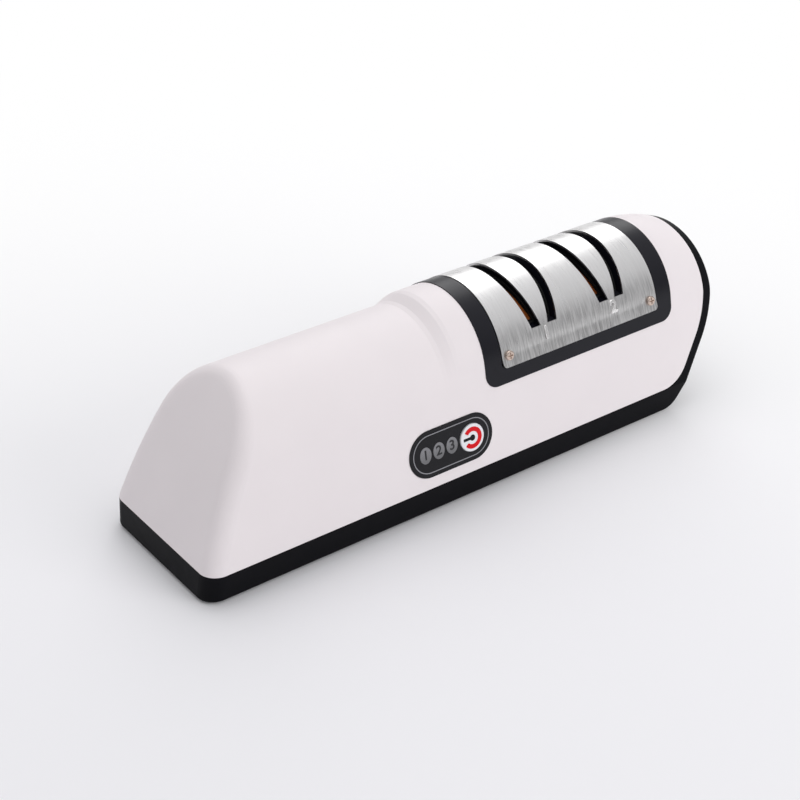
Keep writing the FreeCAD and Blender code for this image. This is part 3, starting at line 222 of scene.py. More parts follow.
class ShaderSheet(NodeSheet):
    """The node tree of one material, with a Principled shader ready to be fed."""

    def __init__(self, name: str) -> None:
        """Starts an empty material with a Principled shader and an output."""
        self.material = bpy.data.materials.new(name)
        self.material.use_nodes = True
        super().__init__(self.material.node_tree)
        self.shader = self.node("ShaderNodeBsdfPrincipled", {}, {})
        self.output = self.node("ShaderNodeOutputMaterial", {}, {"Surface": self.shader.outputs[0]})

    def set(self, **sockets: Any) -> None:
        """Feeds the Principled shader; a socket's name is written with underscores for spaces."""
        for name, value in sockets.items():
            self.feed(self.shader.inputs[name.replace("_", " ")], value)

    def place(self, stretch: Sequence[float] = (1.0, 1.0, 1.0)) -> bpy.types.NodeSocket:
        """The point on the piece in metres, stretched along each axis."""
        coordinates = self.node("ShaderNodeTexCoord", {}, {})
        inputs = {"Vector": coordinates.outputs["Object"], "Scale": stretch}
        return self.node("ShaderNodeMapping", {}, inputs).outputs[0]

    def along(self, axis: int) -> Value:
        """One coordinate of the point on the piece, in metres."""
        split = self.node("ShaderNodeSeparateXYZ", {}, {0: self.place()})
        return Value(self, split.outputs[axis])

    def noise(self, scale: float, detail: float = 2.0, stretch: Sequence[float] = (1.0, 1.0, 1.0)) -> Value:
        """A cloudy pattern from 0 to 1.

        Args:
            scale: Cells per metre.
            detail: Finer layers to add.
            stretch: The pattern's frequency along each axis, times scale.

        Returns:
            The pattern.
        """
        inputs = {"Vector": self.place(stretch), "Scale": scale, "Detail": detail, "Roughness": 0.55}
        return Value(self, self.node("ShaderNodeTexNoise", {}, inputs).outputs[0])

    def speckle(self, scale: float) -> Value:
        """A pattern of cells from 0 at their centres to 1."""
        inputs = {"Vector": self.place(), "Scale": scale}
        return Value(self, self.node("ShaderNodeTexVoronoi", {}, inputs).outputs[0])

    def blend(self, share: Number, first: Any, second: Any) -> bpy.types.NodeSocket:
        """The first colour where share is 0, and the second where it is 1."""
        inputs = {0: share, 6: first, 7: second}
        return self.node("ShaderNodeMix", {"data_type": "RGBA"}, inputs).outputs[2]

    def relief(self, height: Value, depth: float, strength: float, base: Any = None) -> bpy.types.NodeSocket:
        """A bumped normal.

        Args:
            height: The pattern, from 0 to 1.
            depth: The depth in metres that 1 stands for.
            strength: The bump's strength.
            base: A coarser normal that the bump lies on.

        Returns:
            The normal.
        """
        inputs = {"Height": height, "Distance": depth, "Strength": strength}
        if base is not None:
            inputs["Normal"] = base
        return self.node("ShaderNodeBump", {}, inputs).outputs[0]


def shade(colour: Colour, share: float) -> Colour:
    """A colour times a share."""
    return colour[0] * share, colour[1] * share, colour[2] * share


@dataclass(frozen=True)
class MouldedPlastic:
    """Moulded plastic with a fine eroded grain and a faint unevenness of tone."""

    name: str
    colour: Colour
    roughness: float
    grain_scale: float = 3000.0
    grain_depth: float = 0.000012
    unevenness: float = 0.04
    coat: float = 0.0
    shine: float = 0.5
    grain_strength: float = 0.5
    cloud_scale: float = 38.0
    handling_scale: float = 170.0
    rough_shares: Range = (0.92, 1.1)
    coat_roughness: float = 0.08
    refraction: float = 1.48

    def make(self) -> bpy.types.Material:
        """Builds the material."""
        sheet = ShaderSheet(self.name)
        grain = sheet.noise(self.grain_scale, detail=3.0)
        clouds = sheet.noise(self.cloud_scale, detail=3.0)
        handling = sheet.noise(self.handling_scale, detail=4.0)
        worn = shade(self.colour, 1.0 - self.unevenness)
        sheet.set(Base_Color=sheet.blend(clouds.spread(*MIDDLE), worn, self.colour),
                  Roughness=handling.share_of(self.roughness, self.rough_shares),
                  Normal=sheet.relief(grain, self.grain_depth, self.grain_strength))
        sheet.set(Coat_Weight=self.coat, Coat_Roughness=self.coat_roughness, IOR=self.refraction,
                  Specular_IOR_Level=self.shine)
        return sheet.material


@dataclass(frozen=True)
class BrushedSteel:
    """Sheet steel with long fine scratches and a random mottle, with painted shade that darkens it and deepens
    the mottle low down.
    """

    name: str
    colour: Colour = (0.70, 0.695, 0.69)
    roughness: float = 0.34
    # Painted shade: between these two heights the mottle's darkening grows from a small share above the top
    # height to full strength below the bottom one.
    painted_shade_top: float = 60.0 * MM
    painted_shade_bottom: float = 52.0 * MM
    painted_shade_range: Range = (0.15, 1.0)
    painted_shade_tone: float = 0.62
    scratch_scale: float = 3000.0
    scratch_depth: float = 0.000005
    scratch_strength: float = 0.7
    scratch_range: Range = (0.25, 0.75)
    rough_shares: Range = (0.75, 1.35)
    band_scale: float = 1500.0
    band_stretch: Triple = (1.0, 0.08, 0.08)
    wave_scale: float = 60.0
    wave_stretch: Triple = (0.5, 1.0, 1.0)
    wave_depth: float = 0.00003
    wave_strength: float = 0.6

    def make(self) -> bpy.types.Material:
        """Builds the material."""
        sheet = ShaderSheet(self.name)
        scratches = sheet.noise(self.scratch_scale, 3.0, Axis.ROUND_X.value)
        bands = sheet.noise(self.band_scale, 3.0, self.band_stretch)
        waves = sheet.noise(self.wave_scale, 2.0, self.wave_stretch)
        # Painted shade: the colour darkens and mottles more deeply low down, as if the lower lips were in
        # shade.
        painted_shade = sheet.along(2).spread(self.painted_shade_top, self.painted_shade_bottom, *self.painted_shade_range)
        tone = sheet.blend(bands.spread(*MIDDLE) * painted_shade, self.colour, shade(self.colour, self.painted_shade_tone))
        waved = sheet.relief(waves, self.wave_depth, self.wave_strength)
        sheet.set(Base_Color=tone,
                  Metallic=1.0,
                  Roughness=scratches.share_of(self.roughness, self.rough_shares, self.scratch_range),
                  Normal=sheet.relief(scratches, self.scratch_depth, self.scratch_strength, waved))
        return sheet.material


@dataclass(frozen=True)
class TurnedMetal:
    """Bar metal with the rings that a lathe leaves, and a few stains."""

    name: str
    colour: Colour
    roughness: float = 0.3
    axis: Axis = Axis.ROUND_X
    ring_scale: float = 4200.0
    stain: float = 0.8
    ring_depth: float = 0.00001
    ring_strength: float = 0.6
    rough_shares: Range = (0.8, 1.3)
    stain_scale: float = 260.0
    stain_range: Range = (0.45, 0.75)

    def make(self) -> bpy.types.Material:
        """Builds the material."""
        sheet = ShaderSheet(self.name)
        rings = sheet.noise(self.ring_scale, 2.0, self.axis.value)
        stains = sheet.noise(self.stain_scale, 4.0).spread(*self.stain_range)
        sheet.set(Base_Color=sheet.blend(stains, self.colour, shade(self.colour, self.stain)),
                  Metallic=1.0,
                  Roughness=rings.share_of(self.roughness, self.rough_shares),
                  Normal=sheet.relief(rings, self.ring_depth, self.ring_strength))
        return sheet.material


@dataclass(frozen=True)
class BondedGrit:
    """A fired grinding wheel: coloured bond with paler and darker grains."""

    name: str
    colour: Colour
    grain_scale: float
    grain_depth: float = 0.00008
    grain_strength: float = 0.9
    grain_size: float = 0.35
    grain_cover: float = 0.45
    grain_shade: float = 1.9
    bond_shade: float = 0.72
    cloud_scale: float = 300.0
    roughness: float = 0.78

    def make(self) -> bpy.types.Material:
        """Builds the material."""
        sheet = ShaderSheet(self.name)
        grains = sheet.speckle(self.grain_scale)
        clouds = sheet.noise(self.cloud_scale, 4.0)
        bond = sheet.blend(clouds.spread(*MIDDLE), shade(self.colour, self.bond_shade), self.colour)
        cover = grains.spread(0.0, self.grain_size, self.grain_cover, 0.0)
        sheet.set(Base_Color=sheet.blend(cover, bond, shade(self.colour, self.grain_shade)),
                  Roughness=self.roughness,
                  Normal=sheet.relief(grains, self.grain_depth, self.grain_strength))
        return sheet.material


@dataclass(frozen=True)
class GlossyPanel:
    """Polished plastic that shows faint rub marks."""

    name: str
    colour: Colour
    roughness: float = 0.12
    rough_shares: Range = (0.8, 1.6)
    rub_scale: float = 420.0
    rub_stretch: Triple = (1.0, 1.0, 0.25)
    rub_range: Range = (0.4, 0.75)
    cloud_scale: float = 90.0
    cloud_shade: float = 0.9
    cloud_depth: float = 0.00003
    cloud_strength: float = 0.25
    coat: float = 0.12
    coat_roughness: float = 0.06
    shine: float = 0.2

    def make(self) -> bpy.types.Material:
        """Builds the material."""
        sheet = ShaderSheet(self.name)
        rubs = sheet.noise(self.rub_scale, 4.0, self.rub_stretch)
        clouds = sheet.noise(self.cloud_scale, 2.0)
        tone = sheet.blend(clouds.spread(*MIDDLE), shade(self.colour, self.cloud_shade), self.colour)
        sheet.set(Base_Color=tone,
                  Roughness=rubs.share_of(self.roughness, self.rough_shares, self.rub_range),
                  Normal=sheet.relief(clouds, self.cloud_depth, self.cloud_strength))
        sheet.set(Coat_Weight=self.coat, Coat_Roughness=self.coat_roughness, Specular_IOR_Level=self.shine)
        return sheet.material


@dataclass(frozen=True)
class FrostedWindow:
    """A smoky diffusing window, a little paler towards its top."""

    name: str
    colour: Colour
    low: float
    high: float
    low_shade: float = 0.75
    high_shade: float = 1.2
    frost_scale: float = 5200.0
    frost_depth: float = 0.000008
    frost_strength: float = 0.4
    rough_range: Range = (0.22, 0.34)

    def make(self) -> bpy.types.Material:
        """Builds the material."""
        sheet = ShaderSheet(self.name)
        rise = sheet.along(2).spread(self.low, self.high)
        frost = sheet.noise(self.frost_scale, 2.0)
        low, high = shade(self.colour, self.low_shade), shade(self.colour, self.high_shade)
        sheet.set(Base_Color=sheet.blend(rise, low, high),
                  Roughness=frost.spread(*MIDDLE, *self.rough_range),
                  Normal=sheet.relief(frost, self.frost_depth, self.frost_strength))
        return sheet.material


@dataclass(frozen=True)
class WrappedCell:
    """A shrink-wrapped cell with bare metal at both ends."""

    name: str
    wrap: Colour
    metal: Colour
    start: float
    end: float
    bare: float = 1.5 * MM
    wrinkle_scale: float = 700.0
    wrinkle_stretch: Triple = (1.0, 0.3, 0.3)
    wrinkle_depth: float = 0.00002
    wrinkle_strength: float = 0.5
    rough_range: Range = (0.26, 0.4)

    def make(self) -> bpy.types.Material:
        """Builds the material."""
        sheet = ShaderSheet(self.name)
        x = sheet.along(0)
        bare = (x > self.end - self.bare).most(1.0 - (x > self.start + self.bare))
        wrinkles = sheet.noise(self.wrinkle_scale, 3.0, self.wrinkle_stretch)
        sheet.set(Base_Color=sheet.blend(bare, self.wrap, self.metal),
                  Metallic=bare,
                  Roughness=wrinkles.spread(*MIDDLE, *self.rough_range),
                  Normal=sheet.relief(wrinkles, self.wrinkle_depth, self.wrinkle_strength))
        return sheet.material


@dataclass(frozen=True)
class CircuitBoard:
    """Green solder mask over copper tracks, with the woven core's faint texture."""

    name: str
    mask: Colour = (0.012, 0.10, 0.045)
    track: Colour = (0.03, 0.20, 0.08)
    track_scale: float = 420.0
    track_width: float = 0.09
    track_depth: float = 0.00003
    track_strength: float = 0.6
    weave_scale: float = 2200.0
    rough_range: Range = (0.3, 0.45)

    def make(self) -> bpy.types.Material:
        """Builds the material."""
        sheet = ShaderSheet(self.name)
        inputs = {"Vector": sheet.place(), "Scale": self.track_scale, "Mortar Size": self.track_width}
        tracks = Value(sheet, sheet.node("ShaderNodeTexBrick", {}, inputs).outputs[1])
        weave = sheet.noise(self.weave_scale, 2.0)
        sheet.set(Base_Color=sheet.blend(tracks, self.mask, self.track),
                  Roughness=weave.spread(*MIDDLE, *self.rough_range),
                  Normal=sheet.relief(tracks, self.track_depth, self.track_strength))
        return sheet.material


Finish = Union[MouldedPlastic, BrushedSteel, TurnedMetal, BondedGrit, GlossyPanel, FrostedWindow, WrappedCell,
               CircuitBoard]


@dataclass
class SubAssembly:
    """A group of pieces that are dressed together."""

    frame: Mapping[str, Any]
    made: dict[str, bpy.types.Material] = field(default_factory=dict)

    def material(self, finish: Finish) -> bpy.types.Material:
        """The material of a finish, made once."""
        if finish.name not in self.made:
            self.made[finish.name] = finish.make()
        return self.made[finish.name]

    def dress(self, finish: Finish, *nodes: str) -> None:
        """Gives the frame's own nodes a finish."""
        for node in nodes:
            piece = self.frame["nodes"][node]
            for slot in piece.material_slots:
                slot.material = self.material(finish)
            LOG.info("%s wears %s", node, finish.name)

    def piece(self, name: str, mesh: bpy.types.Mesh, finish: Finish, body: Body, slot: str,
              replaces: Sequence[str] = ()) -> bpy.types.Object:
        """Adds a modelled piece to the scene.

        Args:
            name: The piece's name.
            mesh: Its mesh, in place, in the row frame.
            finish: What it is made of.
            body: The body that it rides on.
            slot: The record's material slot that it belongs to; not used.
            replaces: The nodes that it stands for.

        Returns:
            The new object.
        """
        made = bpy.data.objects.new(name, mesh)
        bpy.context.scene.collection.objects.link(made)
        mesh.materials.clear()
        mesh.materials.append(self.material(finish))
        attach(made, body.value)
        if replaces:
            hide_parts(*replaces)
        LOG.info("%s: %d faces", name, len(mesh.polygons))
        return made


def soften(made: bpy.types.Object, width: float, segments: int = 2, angle: float = math.radians(35.0)) -> None:
    """Rounds a piece's sharp edges with a bevel that keeps its flat faces flat."""
    bevel = made.modifiers.new("soft_edges", "BEVEL")
    bevel.width = width
    bevel.segments = segments
    bevel.limit_method = "ANGLE"
    bevel.angle_limit = angle
    bevel.harden_normals = True


def mesh_of(name: str, points: Sequence[Vector], faces: Sequence[Sequence[int]],
            smooth: bool = True) -> bpy.types.Mesh:
    """A mesh from points and faces.

    Args:
        name: The mesh's name.
        points: Its points.
        faces: The points of each face.
        smooth: Whether its faces are shaded smooth.

    Returns:
        The mesh.
    """
    mesh = bpy.data.meshes.new(name)
    mesh.from_pydata([tuple(point) for point in points], [], [tuple(face) for face in faces])
    mesh.validate()
    mesh.polygons.foreach_set("use_smooth", [smooth] * len(mesh.polygons))
    return mesh


def raised_flat(name: str, outline: Sequence[Vector], low: float, high: float, edge: float) -> bpy.types.Mesh:
    """A flat raised shape with a narrow slope round its top.

    Args:
        name: The mesh's name.
        outline: Its flat outline, anticlockwise.
        low: The level that it rises from.
        high: The level of its top.
        edge: The width of the slope.

    Returns:
        The mesh.
    """
    count = len(outline)
    points = [Vector((point.x, point.y, low)) for point in outline]
    for i, point in enumerate(outline):
        along = (outline[(i + 1) % count] - outline[i - 1]).normalized()
        points.append(Vector((point.x - along.y * edge, point.y + along.x * edge, high)))
    faces: list[Sequence[int]] = [tuple(range(count, 2 * count))]
    for i in range(count):
        following = (i + 1) % count
        faces.append((i, following, following + count, i + count))
    return mesh_of(name, points, faces, smooth=False)


def text_mesh(words: str, height: float, depth: float, rounding: float, boldness: float) -> bpy.types.Mesh:
    """Plain raised characters, centred on the origin, facing +Z.

    Args:
        words: The characters.
        height: Their height.
        depth: Their thickness, half of it on each side of the origin.
        rounding: The radius of their edges.
        boldness: How far their outlines are pushed outwards.

    Returns:
        The mesh.
    """
    curve = bpy.data.curves.new("characters", "FONT")
    curve.body = words
    curve.size = height / CAPITAL_SHARE
    curve.align_x = "CENTER"
    curve.align_y = "CENTER"
    curve.extrude = depth / 2 - rounding
    curve.bevel_depth = rounding
    curve.bevel_resolution = CHARACTER_EDGE_STEPS
    curve.offset = boldness
    holder = bpy.data.objects.new("characters", curve)
    bpy.context.scene.collection.objects.link(holder)
    bpy.context.view_layer.update()
    graph = bpy.context.evaluated_depsgraph_get()
    mesh = bpy.data.meshes.new_from_object(holder.evaluated_get(graph))
    bpy.data.objects.remove(holder)
    bpy.data.curves.remove(curve)
    return mesh


def remapped(mesh: bpy.types.Mesh, move: Callable[[Vector], Vector]) -> bpy.types.Mesh:
    """The mesh with every point moved by a function."""
    for vertex in mesh.vertices:
        vertex.co = move(vertex.co.copy())
    mesh.update()
    return mesh


@dataclass
class Housing(SubAssembly):
    """The white upper shell, the black base with its end band, and the pieces under it."""

    white: MouldedPlastic = MouldedPlastic("shell_white", (0.815, 0.762, 0.775), 0.5, 2400.0, 0.000008, 0.015,
                                           shine=0.3)
    black: MouldedPlastic = MouldedPlastic("base_black", (0.0045, 0.0045, 0.006), 0.42, 3200.0, 0.00002, 0.1,
                                           shine=0.06)
    rubber: MouldedPlastic = MouldedPlastic("foot_rubber", (0.02, 0.02, 0.02), 0.8, 1800.0, 0.00006, 0.2)
    steel: TurnedMetal = TurnedMetal("case_screw_steel", (0.34, 0.33, 0.33), 0.34, Axis.ROUND_Z)

    def build(self) -> None:
        """Dresses the shells, the feet and the case screws."""
        self.dress(self.white, "upper_shell")
        self.dress(self.black, "base_shell")
        self.dress(self.rubber, "rubber_feet")
        self.dress(self.steel, "case_screws")


@dataclass
class SharpeningHead(SubAssembly):
    """The bezel, the slotted steel plate with its raised numbers, and the blade guides."""

    crown_height: float = 68.0 * MM
    plate_proud: float = 0.45 * MM
    plate_thickness: float = 0.8 * MM
    plate_corner: float = 1.5 * MM
    plate_edge: float = 0.18 * MM
    fold_height: float = 48.0 * MM
    fold_flare: float = 0.28
    slot_width: float = 4.2 * MM
    slot_tilt: float = math.radians(14.4)
    slot_pitch: float = 14.5 * MM
    slot_end: float = 54.3 * MM
    stage_pitch: float = 32.5 * MM
    corner_rows: int = 6
    lip_rows: int = 3
    front_rows: int = 6
    slot_rows: int = 28
    number_height: float = 4.4 * MM
    number_depth: float = 1.3 * MM
    number_level: float = 51.2 * MM
    number_rounding: float = 0.2 * MM
    number_boldness: float = 0.08 * MM
    black: MouldedPlastic = MouldedPlastic("bezel_black", (0.005, 0.005, 0.009), 0.3, 3600.0, 0.00001, 0.08,
                                           shine=0.26)
    guide: MouldedPlastic = MouldedPlastic("guide_black", (0.008, 0.008, 0.008), 0.6, 1600.0, 0.00005, 0.2)
    steel: BrushedSteel = BrushedSteel("plate_steel")
    # Painted highlight: the raised numbers wear a paler copy of the plate's steel, smoother and with almost
    # none of its painted shade, so they read as catching the light.
    painted_highlight_steel: BrushedSteel = BrushedSteel("number_steel", (0.92, 0.91, 0.90), 0.2, 10.0 * MM, 0.0)
    screw: TurnedMetal = TurnedMetal("plate_screw_steel", (0.64, 0.52, 0.45), 0.24, Axis.ROUND_Z)

    def build(self) -> None:
        """Builds the plate and its numbers, and dresses the rest."""
        self.dress(self.black, "head_bezel")
        self.dress(self.guide, "fine_guide", "coarse_guide")
        self.dress(self.screw, "plate_screws")
        self.build_plate()
        for words, stage in zip(("1", "2"), self.stages()):
            self.build_number(words, stage)

    def plate_ends(self) -> tuple[float, float]:
        """Where the plate starts and ends along X."""
        low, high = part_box("slot_plate")
        return low[0], high[0]

    def stages(self) -> tuple[float, float]:
        """The middle of each pair of slots."""
        low, high = self.plate_ends()
        middle = (low + high) / 2
        return middle - self.stage_pitch / 2, middle + self.stage_pitch / 2

    def slot_edges(self, z: float) -> list[float]:
        """The left and right edge of every slot at a height."""
        drop = self.crown_height - max(z, self.slot_end)
        half = self.slot_width / 2 / math.cos(self.slot_tilt)
        edges = []
        for stage in self.stages():
            for side in (-1, 1):
                middle = stage + side * (self.slot_pitch / 2 - drop * math.tan(self.slot_tilt))
                edges += [middle - half, middle + half]
        return edges

    def row_angles(self) -> tuple[list[float], float]:
        """The angles of the plate's rows from front to back, and the angle where the slots end."""
        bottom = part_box("slot_plate")[0][2]
        radius = ARCH_RADIUS + self.plate_proud

        def angle(z: float) -> float:
            return math.asin((z - ARCH_HEIGHT) / radius)

        def steps(start: float, end: float, count: int) -> list[float]:
            return [start + (end - start) * i / count for i in range(count)]

        corner, fold, slots = angle(bottom + self.plate_corner), angle(self.fold_height), angle(self.slot_end)
        turns = steps(0.0, math.pi / 2, self.corner_rows)
        front = [angle(bottom + self.plate_corner * (1 - math.cos(turn))) for turn in turns]
        front += steps(corner, fold, self.lip_rows)
        front += steps(fold, slots, self.front_rows)
        front += steps(slots, math.pi / 2, self.slot_rows)
        return front + [math.pi / 2] + [math.pi - turn for turn in reversed(front)], slots

    def on_arch(self, x: float, angle: float, lift: float) -> Vector:
        """A point on the head's arch at an angle from the front, lifted off it."""
        radius = ARCH_RADIUS + lift
        return Vector((x, -radius * math.cos(angle), ARCH_HEIGHT + radius * math.sin(angle)))

    def build_plate(self) -> None:
        """Builds the slotted sheet with its folded lower lips."""
        angles, slots = self.row_angles()
        left, right = self.plate_ends()
        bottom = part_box("slot_plate")[0][2]
        corner = self.plate_corner
        points: list[Vector] = []
        width = 0
        for angle in angles:
            point = self.on_arch(0.0, angle, self.plate_proud)
            below = max(corner - (point.z - bottom), 0.0)
            inset = corner - math.sqrt(max(corner ** 2 - below ** 2, 0.0))
            flare = max(self.fold_height - point.z, 0.0) * self.fold_flare
            side = -1.0 if angle < math.pi / 2 else 1.0
            columns = [left + inset, left + corner] + self.slot_edges(point.z) + [right - corner, right - inset]
            width = len(columns)
            points += [Vector((x, point.y + side * flare, point.z)) for x in columns]
        faces = []
        for row in range(len(angles) - 1):
            middle = (angles[row] + angles[row + 1]) / 2
            open_row = slots < middle < math.pi - slots
            for column in range(width - 1):
                is_slot = 2 <= column < width - 2 and column % 2 == 0
                if is_slot and open_row:
                    continue
                first = row * width + column
                faces.append((first, first + 1, first + width + 1, first + width))
        mesh = mesh_of("slot_sheet", points, faces)
        sheet = self.piece("slot_sheet", mesh, self.steel, Body.HOUSING, "slot_plate", ["slot_plate"])
        solid = sheet.modifiers.new("thickness", "SOLIDIFY")
        solid.thickness = self.plate_thickness
        solid.offset = -1.0
        soften(sheet, self.plate_edge)

    def build_number(self, words: str, x: float) -> None:
        """Builds one raised number under a pair of slots, wrapped round the arch."""
        mesh = text_mesh(words, self.number_height, self.number_depth, self.number_rounding,
                         self.number_boldness)
        start = math.asin((self.number_level - ARCH_HEIGHT) / ARCH_RADIUS)

        def wrap(point: Vector) -> Vector:
            return self.on_arch(x + point.x, start + point.y / ARCH_RADIUS, self.plate_proud + point.z)

        self.piece("stage_number_" + words, remapped(mesh, wrap), self.painted_highlight_steel, Body.HOUSING, "slot_plate")


@dataclass
class GrindingTrain(SubAssembly):
    """The wheels and everything that turns with them or holds them up."""

    fine: BondedGrit = BondedGrit("fine_grit", (0.74, 0.19, 0.03), 2600.0)
    coarse: BondedGrit = BondedGrit("coarse_grit", (0.68, 0.16, 0.03), 1500.0)
    steel: TurnedMetal = TurnedMetal("shaft_steel", (0.56, 0.56, 0.57), 0.22)
    aluminium: TurnedMetal = TurnedMetal("hub_aluminium", (0.74, 0.74, 0.75), 0.32)
    bronze: TurnedMetal = TurnedMetal("bush_bronze", (0.50, 0.33, 0.13), 0.42, Axis.ROUND_X, 2600.0, 0.6)
    block: MouldedPlastic = MouldedPlastic("block_grey", (0.055, 0.057, 0.062), 0.5, 1500.0, 0.00004, 0.15)

    def build(self) -> None:
        """Dresses the wheels, the shaft line and its blocks."""
        self.dress(self.fine, "fine_wheel")
        self.dress(self.coarse, "coarse_wheel")
        self.dress(self.steel, "drive_shaft", "wheel_washers", "lock_nut", "block_screws")
        self.dress(self.aluminium, "fine_hub", "coarse_hub", "shaft_spacers")
        self.dress(self.bronze, "left_bush", "right_bush", "shaft_coupling")
        self.dress(self.block, "left_bearing_block", "right_bearing_block")


@dataclass
class PowerPack(SubAssembly):
    """The motor and the battery cells, with what holds them."""

    can: TurnedMetal = TurnedMetal("motor_can_steel", (0.50, 0.50, 0.49), 0.3, Axis.ROUND_X, 1500.0)
    iron: TurnedMetal = TurnedMetal("laminated_iron", (0.16, 0.15, 0.15), 0.5, Axis.ROUND_X, 2000.0, 0.6)
    carrier: MouldedPlastic = MouldedPlastic("carrier_grey", (0.045, 0.046, 0.05), 0.5, 1500.0, 0.00004, 0.15)
    contact: TurnedMetal = TurnedMetal("contact_nickel", (0.62, 0.56, 0.44), 0.28, Axis.ROUND_Z)
    wrap: Colour = (0.03, 0.16, 0.36)
    cell_end: Colour = (0.62, 0.61, 0.58)

    def build(self) -> None:
        """Dresses the motor, its cradle and the battery pack."""
        low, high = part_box("battery_cells")
        self.dress(self.can, "motor_can", "motor_strap", "strap_screws")
        self.dress(self.iron, "motor_rotor", "motor_magnets")
        self.dress(self.carrier, "motor_cradle", "motor_end_cap", "battery_tray")
        self.dress(self.contact, "battery_contacts")
        self.dress(WrappedCell("cell_wrap", self.wrap, self.cell_end, low[0], high[0]), "battery_cells")


@dataclass
class ControlPanel(SubAssembly):
    """The glossy panel with its line, windows and button."""

    length: float = 36.7 * MM
    height: float = 17.6 * MM
    centre_height: float = 24.0 * MM
    proud: float = 0.25 * MM
    line_inset: float = 1.75 * MM
    line_width: float = 0.36 * MM
    line_height: float = 0.04 * MM
    line_steps: int = 32
    line_profile: tuple[Range, ...] = ((-0.5, 0.0), (-0.35, 1.0), (0.35, 1.0), (0.5, 0.0))
    window_places: tuple[float, float, float] = (-11.35 * MM, -5.55 * MM, 0.25 * MM)
    number_height: float = 3.6 * MM
    number_depth: float = 0.14 * MM
    number_rounding: float = 0.02 * MM
    number_boldness: float = 0.07 * MM
    ring_outer: float = 4.15 * MM
    ring_inner: float = 2.35 * MM
    ring_opening: float = math.radians(38.0)
    ring_outer_steps: int = 64
    ring_inner_steps: int = 48
    dot_radius: float = 1.2 * MM
    dot_steps: int = 32
    bar_half_width: float = 0.6 * MM
    bar_length: float = 4.0 * MM
    sign_sink: float = 0.1 * MM
    sign_edge: float = 0.06 * MM
    black: GlossyPanel = GlossyPanel("panel_black", (0.004, 0.004, 0.006))
    window: Colour = (0.17, 0.17, 0.18)
    line: MouldedPlastic = MouldedPlastic("panel_line", (0.26, 0.26, 0.28), 0.4, 3000.0, 0.000005, 0.1)
    number: MouldedPlastic = MouldedPlastic("window_number", (0.008, 0.008, 0.010), 0.4, 3000.0, 0.000005, 0.1)
    white: MouldedPlastic = MouldedPlastic("button_white", (0.80, 0.80, 0.83), 0.26, 3600.0, 0.000004, 0.02,
                                           coat=0.2)
    red: MouldedPlastic = MouldedPlastic("ring_red", (0.68, 0.004, 0.010), 0.34, 3600.0, 0.000004, 0.06,
                                         shine=0.2)
    mark: MouldedPlastic = MouldedPlastic("mark_black", (0.006, 0.006, 0.008), 0.34, 3600.0, 0.000004, 0.06,
                                          shine=0.2)
    switch: MouldedPlastic = MouldedPlastic("switch_black", (0.015, 0.015, 0.016), 0.5, 2600.0, 0.00002, 0.1)
    lamp: MouldedPlastic = MouldedPlastic("lamp_resin", (0.80, 0.72, 0.42), 0.25, 2600.0, 0.00001, 0.1)
    screw: TurnedMetal = TurnedMetal("board_screw_steel", (0.50, 0.50, 0.50), 0.26, Axis.ROUND_Z)
    board: CircuitBoard = CircuitBoard("board_green")

    def build(self) -> None:
        """Dresses the panel's nodes and adds the line, the button's sign and the window numbers."""
        low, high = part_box("status_windows")
        self.dress(self.black, "control_panel")
        self.dress(FrostedWindow("window_grey", self.window, low[2], high[2]), "status_windows")
        self.dress(self.white, "power_button")
        self.dress(self.switch, "tact_switch", "switch_plunger")
        self.dress(self.lamp, "status_lights")
        self.dress(self.screw, "board_screws")
        self.dress(self.board, "control_board")
        self.build_line()
        self.build_sign()
        for words, along in zip("123", self.window_places):
            self.build_number(words, along)

    def wall(self) -> Matrix:
        """The panel's own frame: +X along the body, +Y up the wall and +Z out of it."""
        press = next(joint for joint in self.frame["joints"] if joint["name"] == "button_press")
        out = -Vector(press["axis"]).normalized()
        along = Vector((1.0, 0.0, 0.0))
        up = out.cross(along)
        low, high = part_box("control_panel")
        slope = out.z / -out.y
        wall_y = -(ARCH_RADIUS * math.sqrt(1.0 + slope * slope) - (self.centre_height - ARCH_HEIGHT) * slope)
        frame = Matrix((along, up, out)).transposed().to_4x4()
        frame.translation = Vector(((low[0] + high[0]) / 2, wall_y, self.centre_height))
        return frame

    def build_line(self) -> None:
        """Builds the thin grey line that runs round the panel's face."""
        radius = self.height / 2 - self.line_inset
        straight = (self.length - self.height) / 2
        points: list[Vector] = []
        place = self.wall()
        for end in (1, -1):
            for i in range(self.line_steps + 1):
                turn = math.pi * (i / self.line_steps - 0.5) + (0.0 if end > 0 else math.pi)
                for reach, lift in self.line_profile:
                    ring = radius + reach * self.line_width
                    flat = Vector((end * straight + ring * math.cos(turn), ring * math.sin(turn),
                                   self.proud + lift * self.line_height))
                    points.append(place @ flat)
        rings = 2 * (self.line_steps + 1)
        strands = len(self.line_profile)
        faces = []
        for ring_index in range(rings):
            first, second = ring_index * strands, (ring_index + 1) % rings * strands
            for strand in range(strands - 1):
                faces.append((first + strand, second + strand, second + strand + 1, first + strand + 1))
        self.piece("panel_line", mesh_of("panel_line", points, faces), self.line, Body.HOUSING, "panel_black")

    def build_sign(self) -> None:
        """Builds the button's open red ring, and the dot and bar inside it."""
        place = self.wall()
        back = place.inverted()

        def reach(node: str, axis: int) -> tuple[float, float]:
            levels = [(back @ vertex.co)[axis] for vertex in self.frame["nodes"][node].data.vertices]
            return min(levels), max(levels)

        centre = Vector((sum(reach("power_button", 0)) / 2, sum(reach("power_button", 1)) / 2))
        top = reach("button_ring", 2)[1]

        def arc(radius: float, start: float, end: float, count: int) -> list[Vector]:
            turns = [start + (end - start) * i / count for i in range(count + 1)]
            return [centre + Vector((math.cos(turn), math.sin(turn))) * radius for turn in turns]

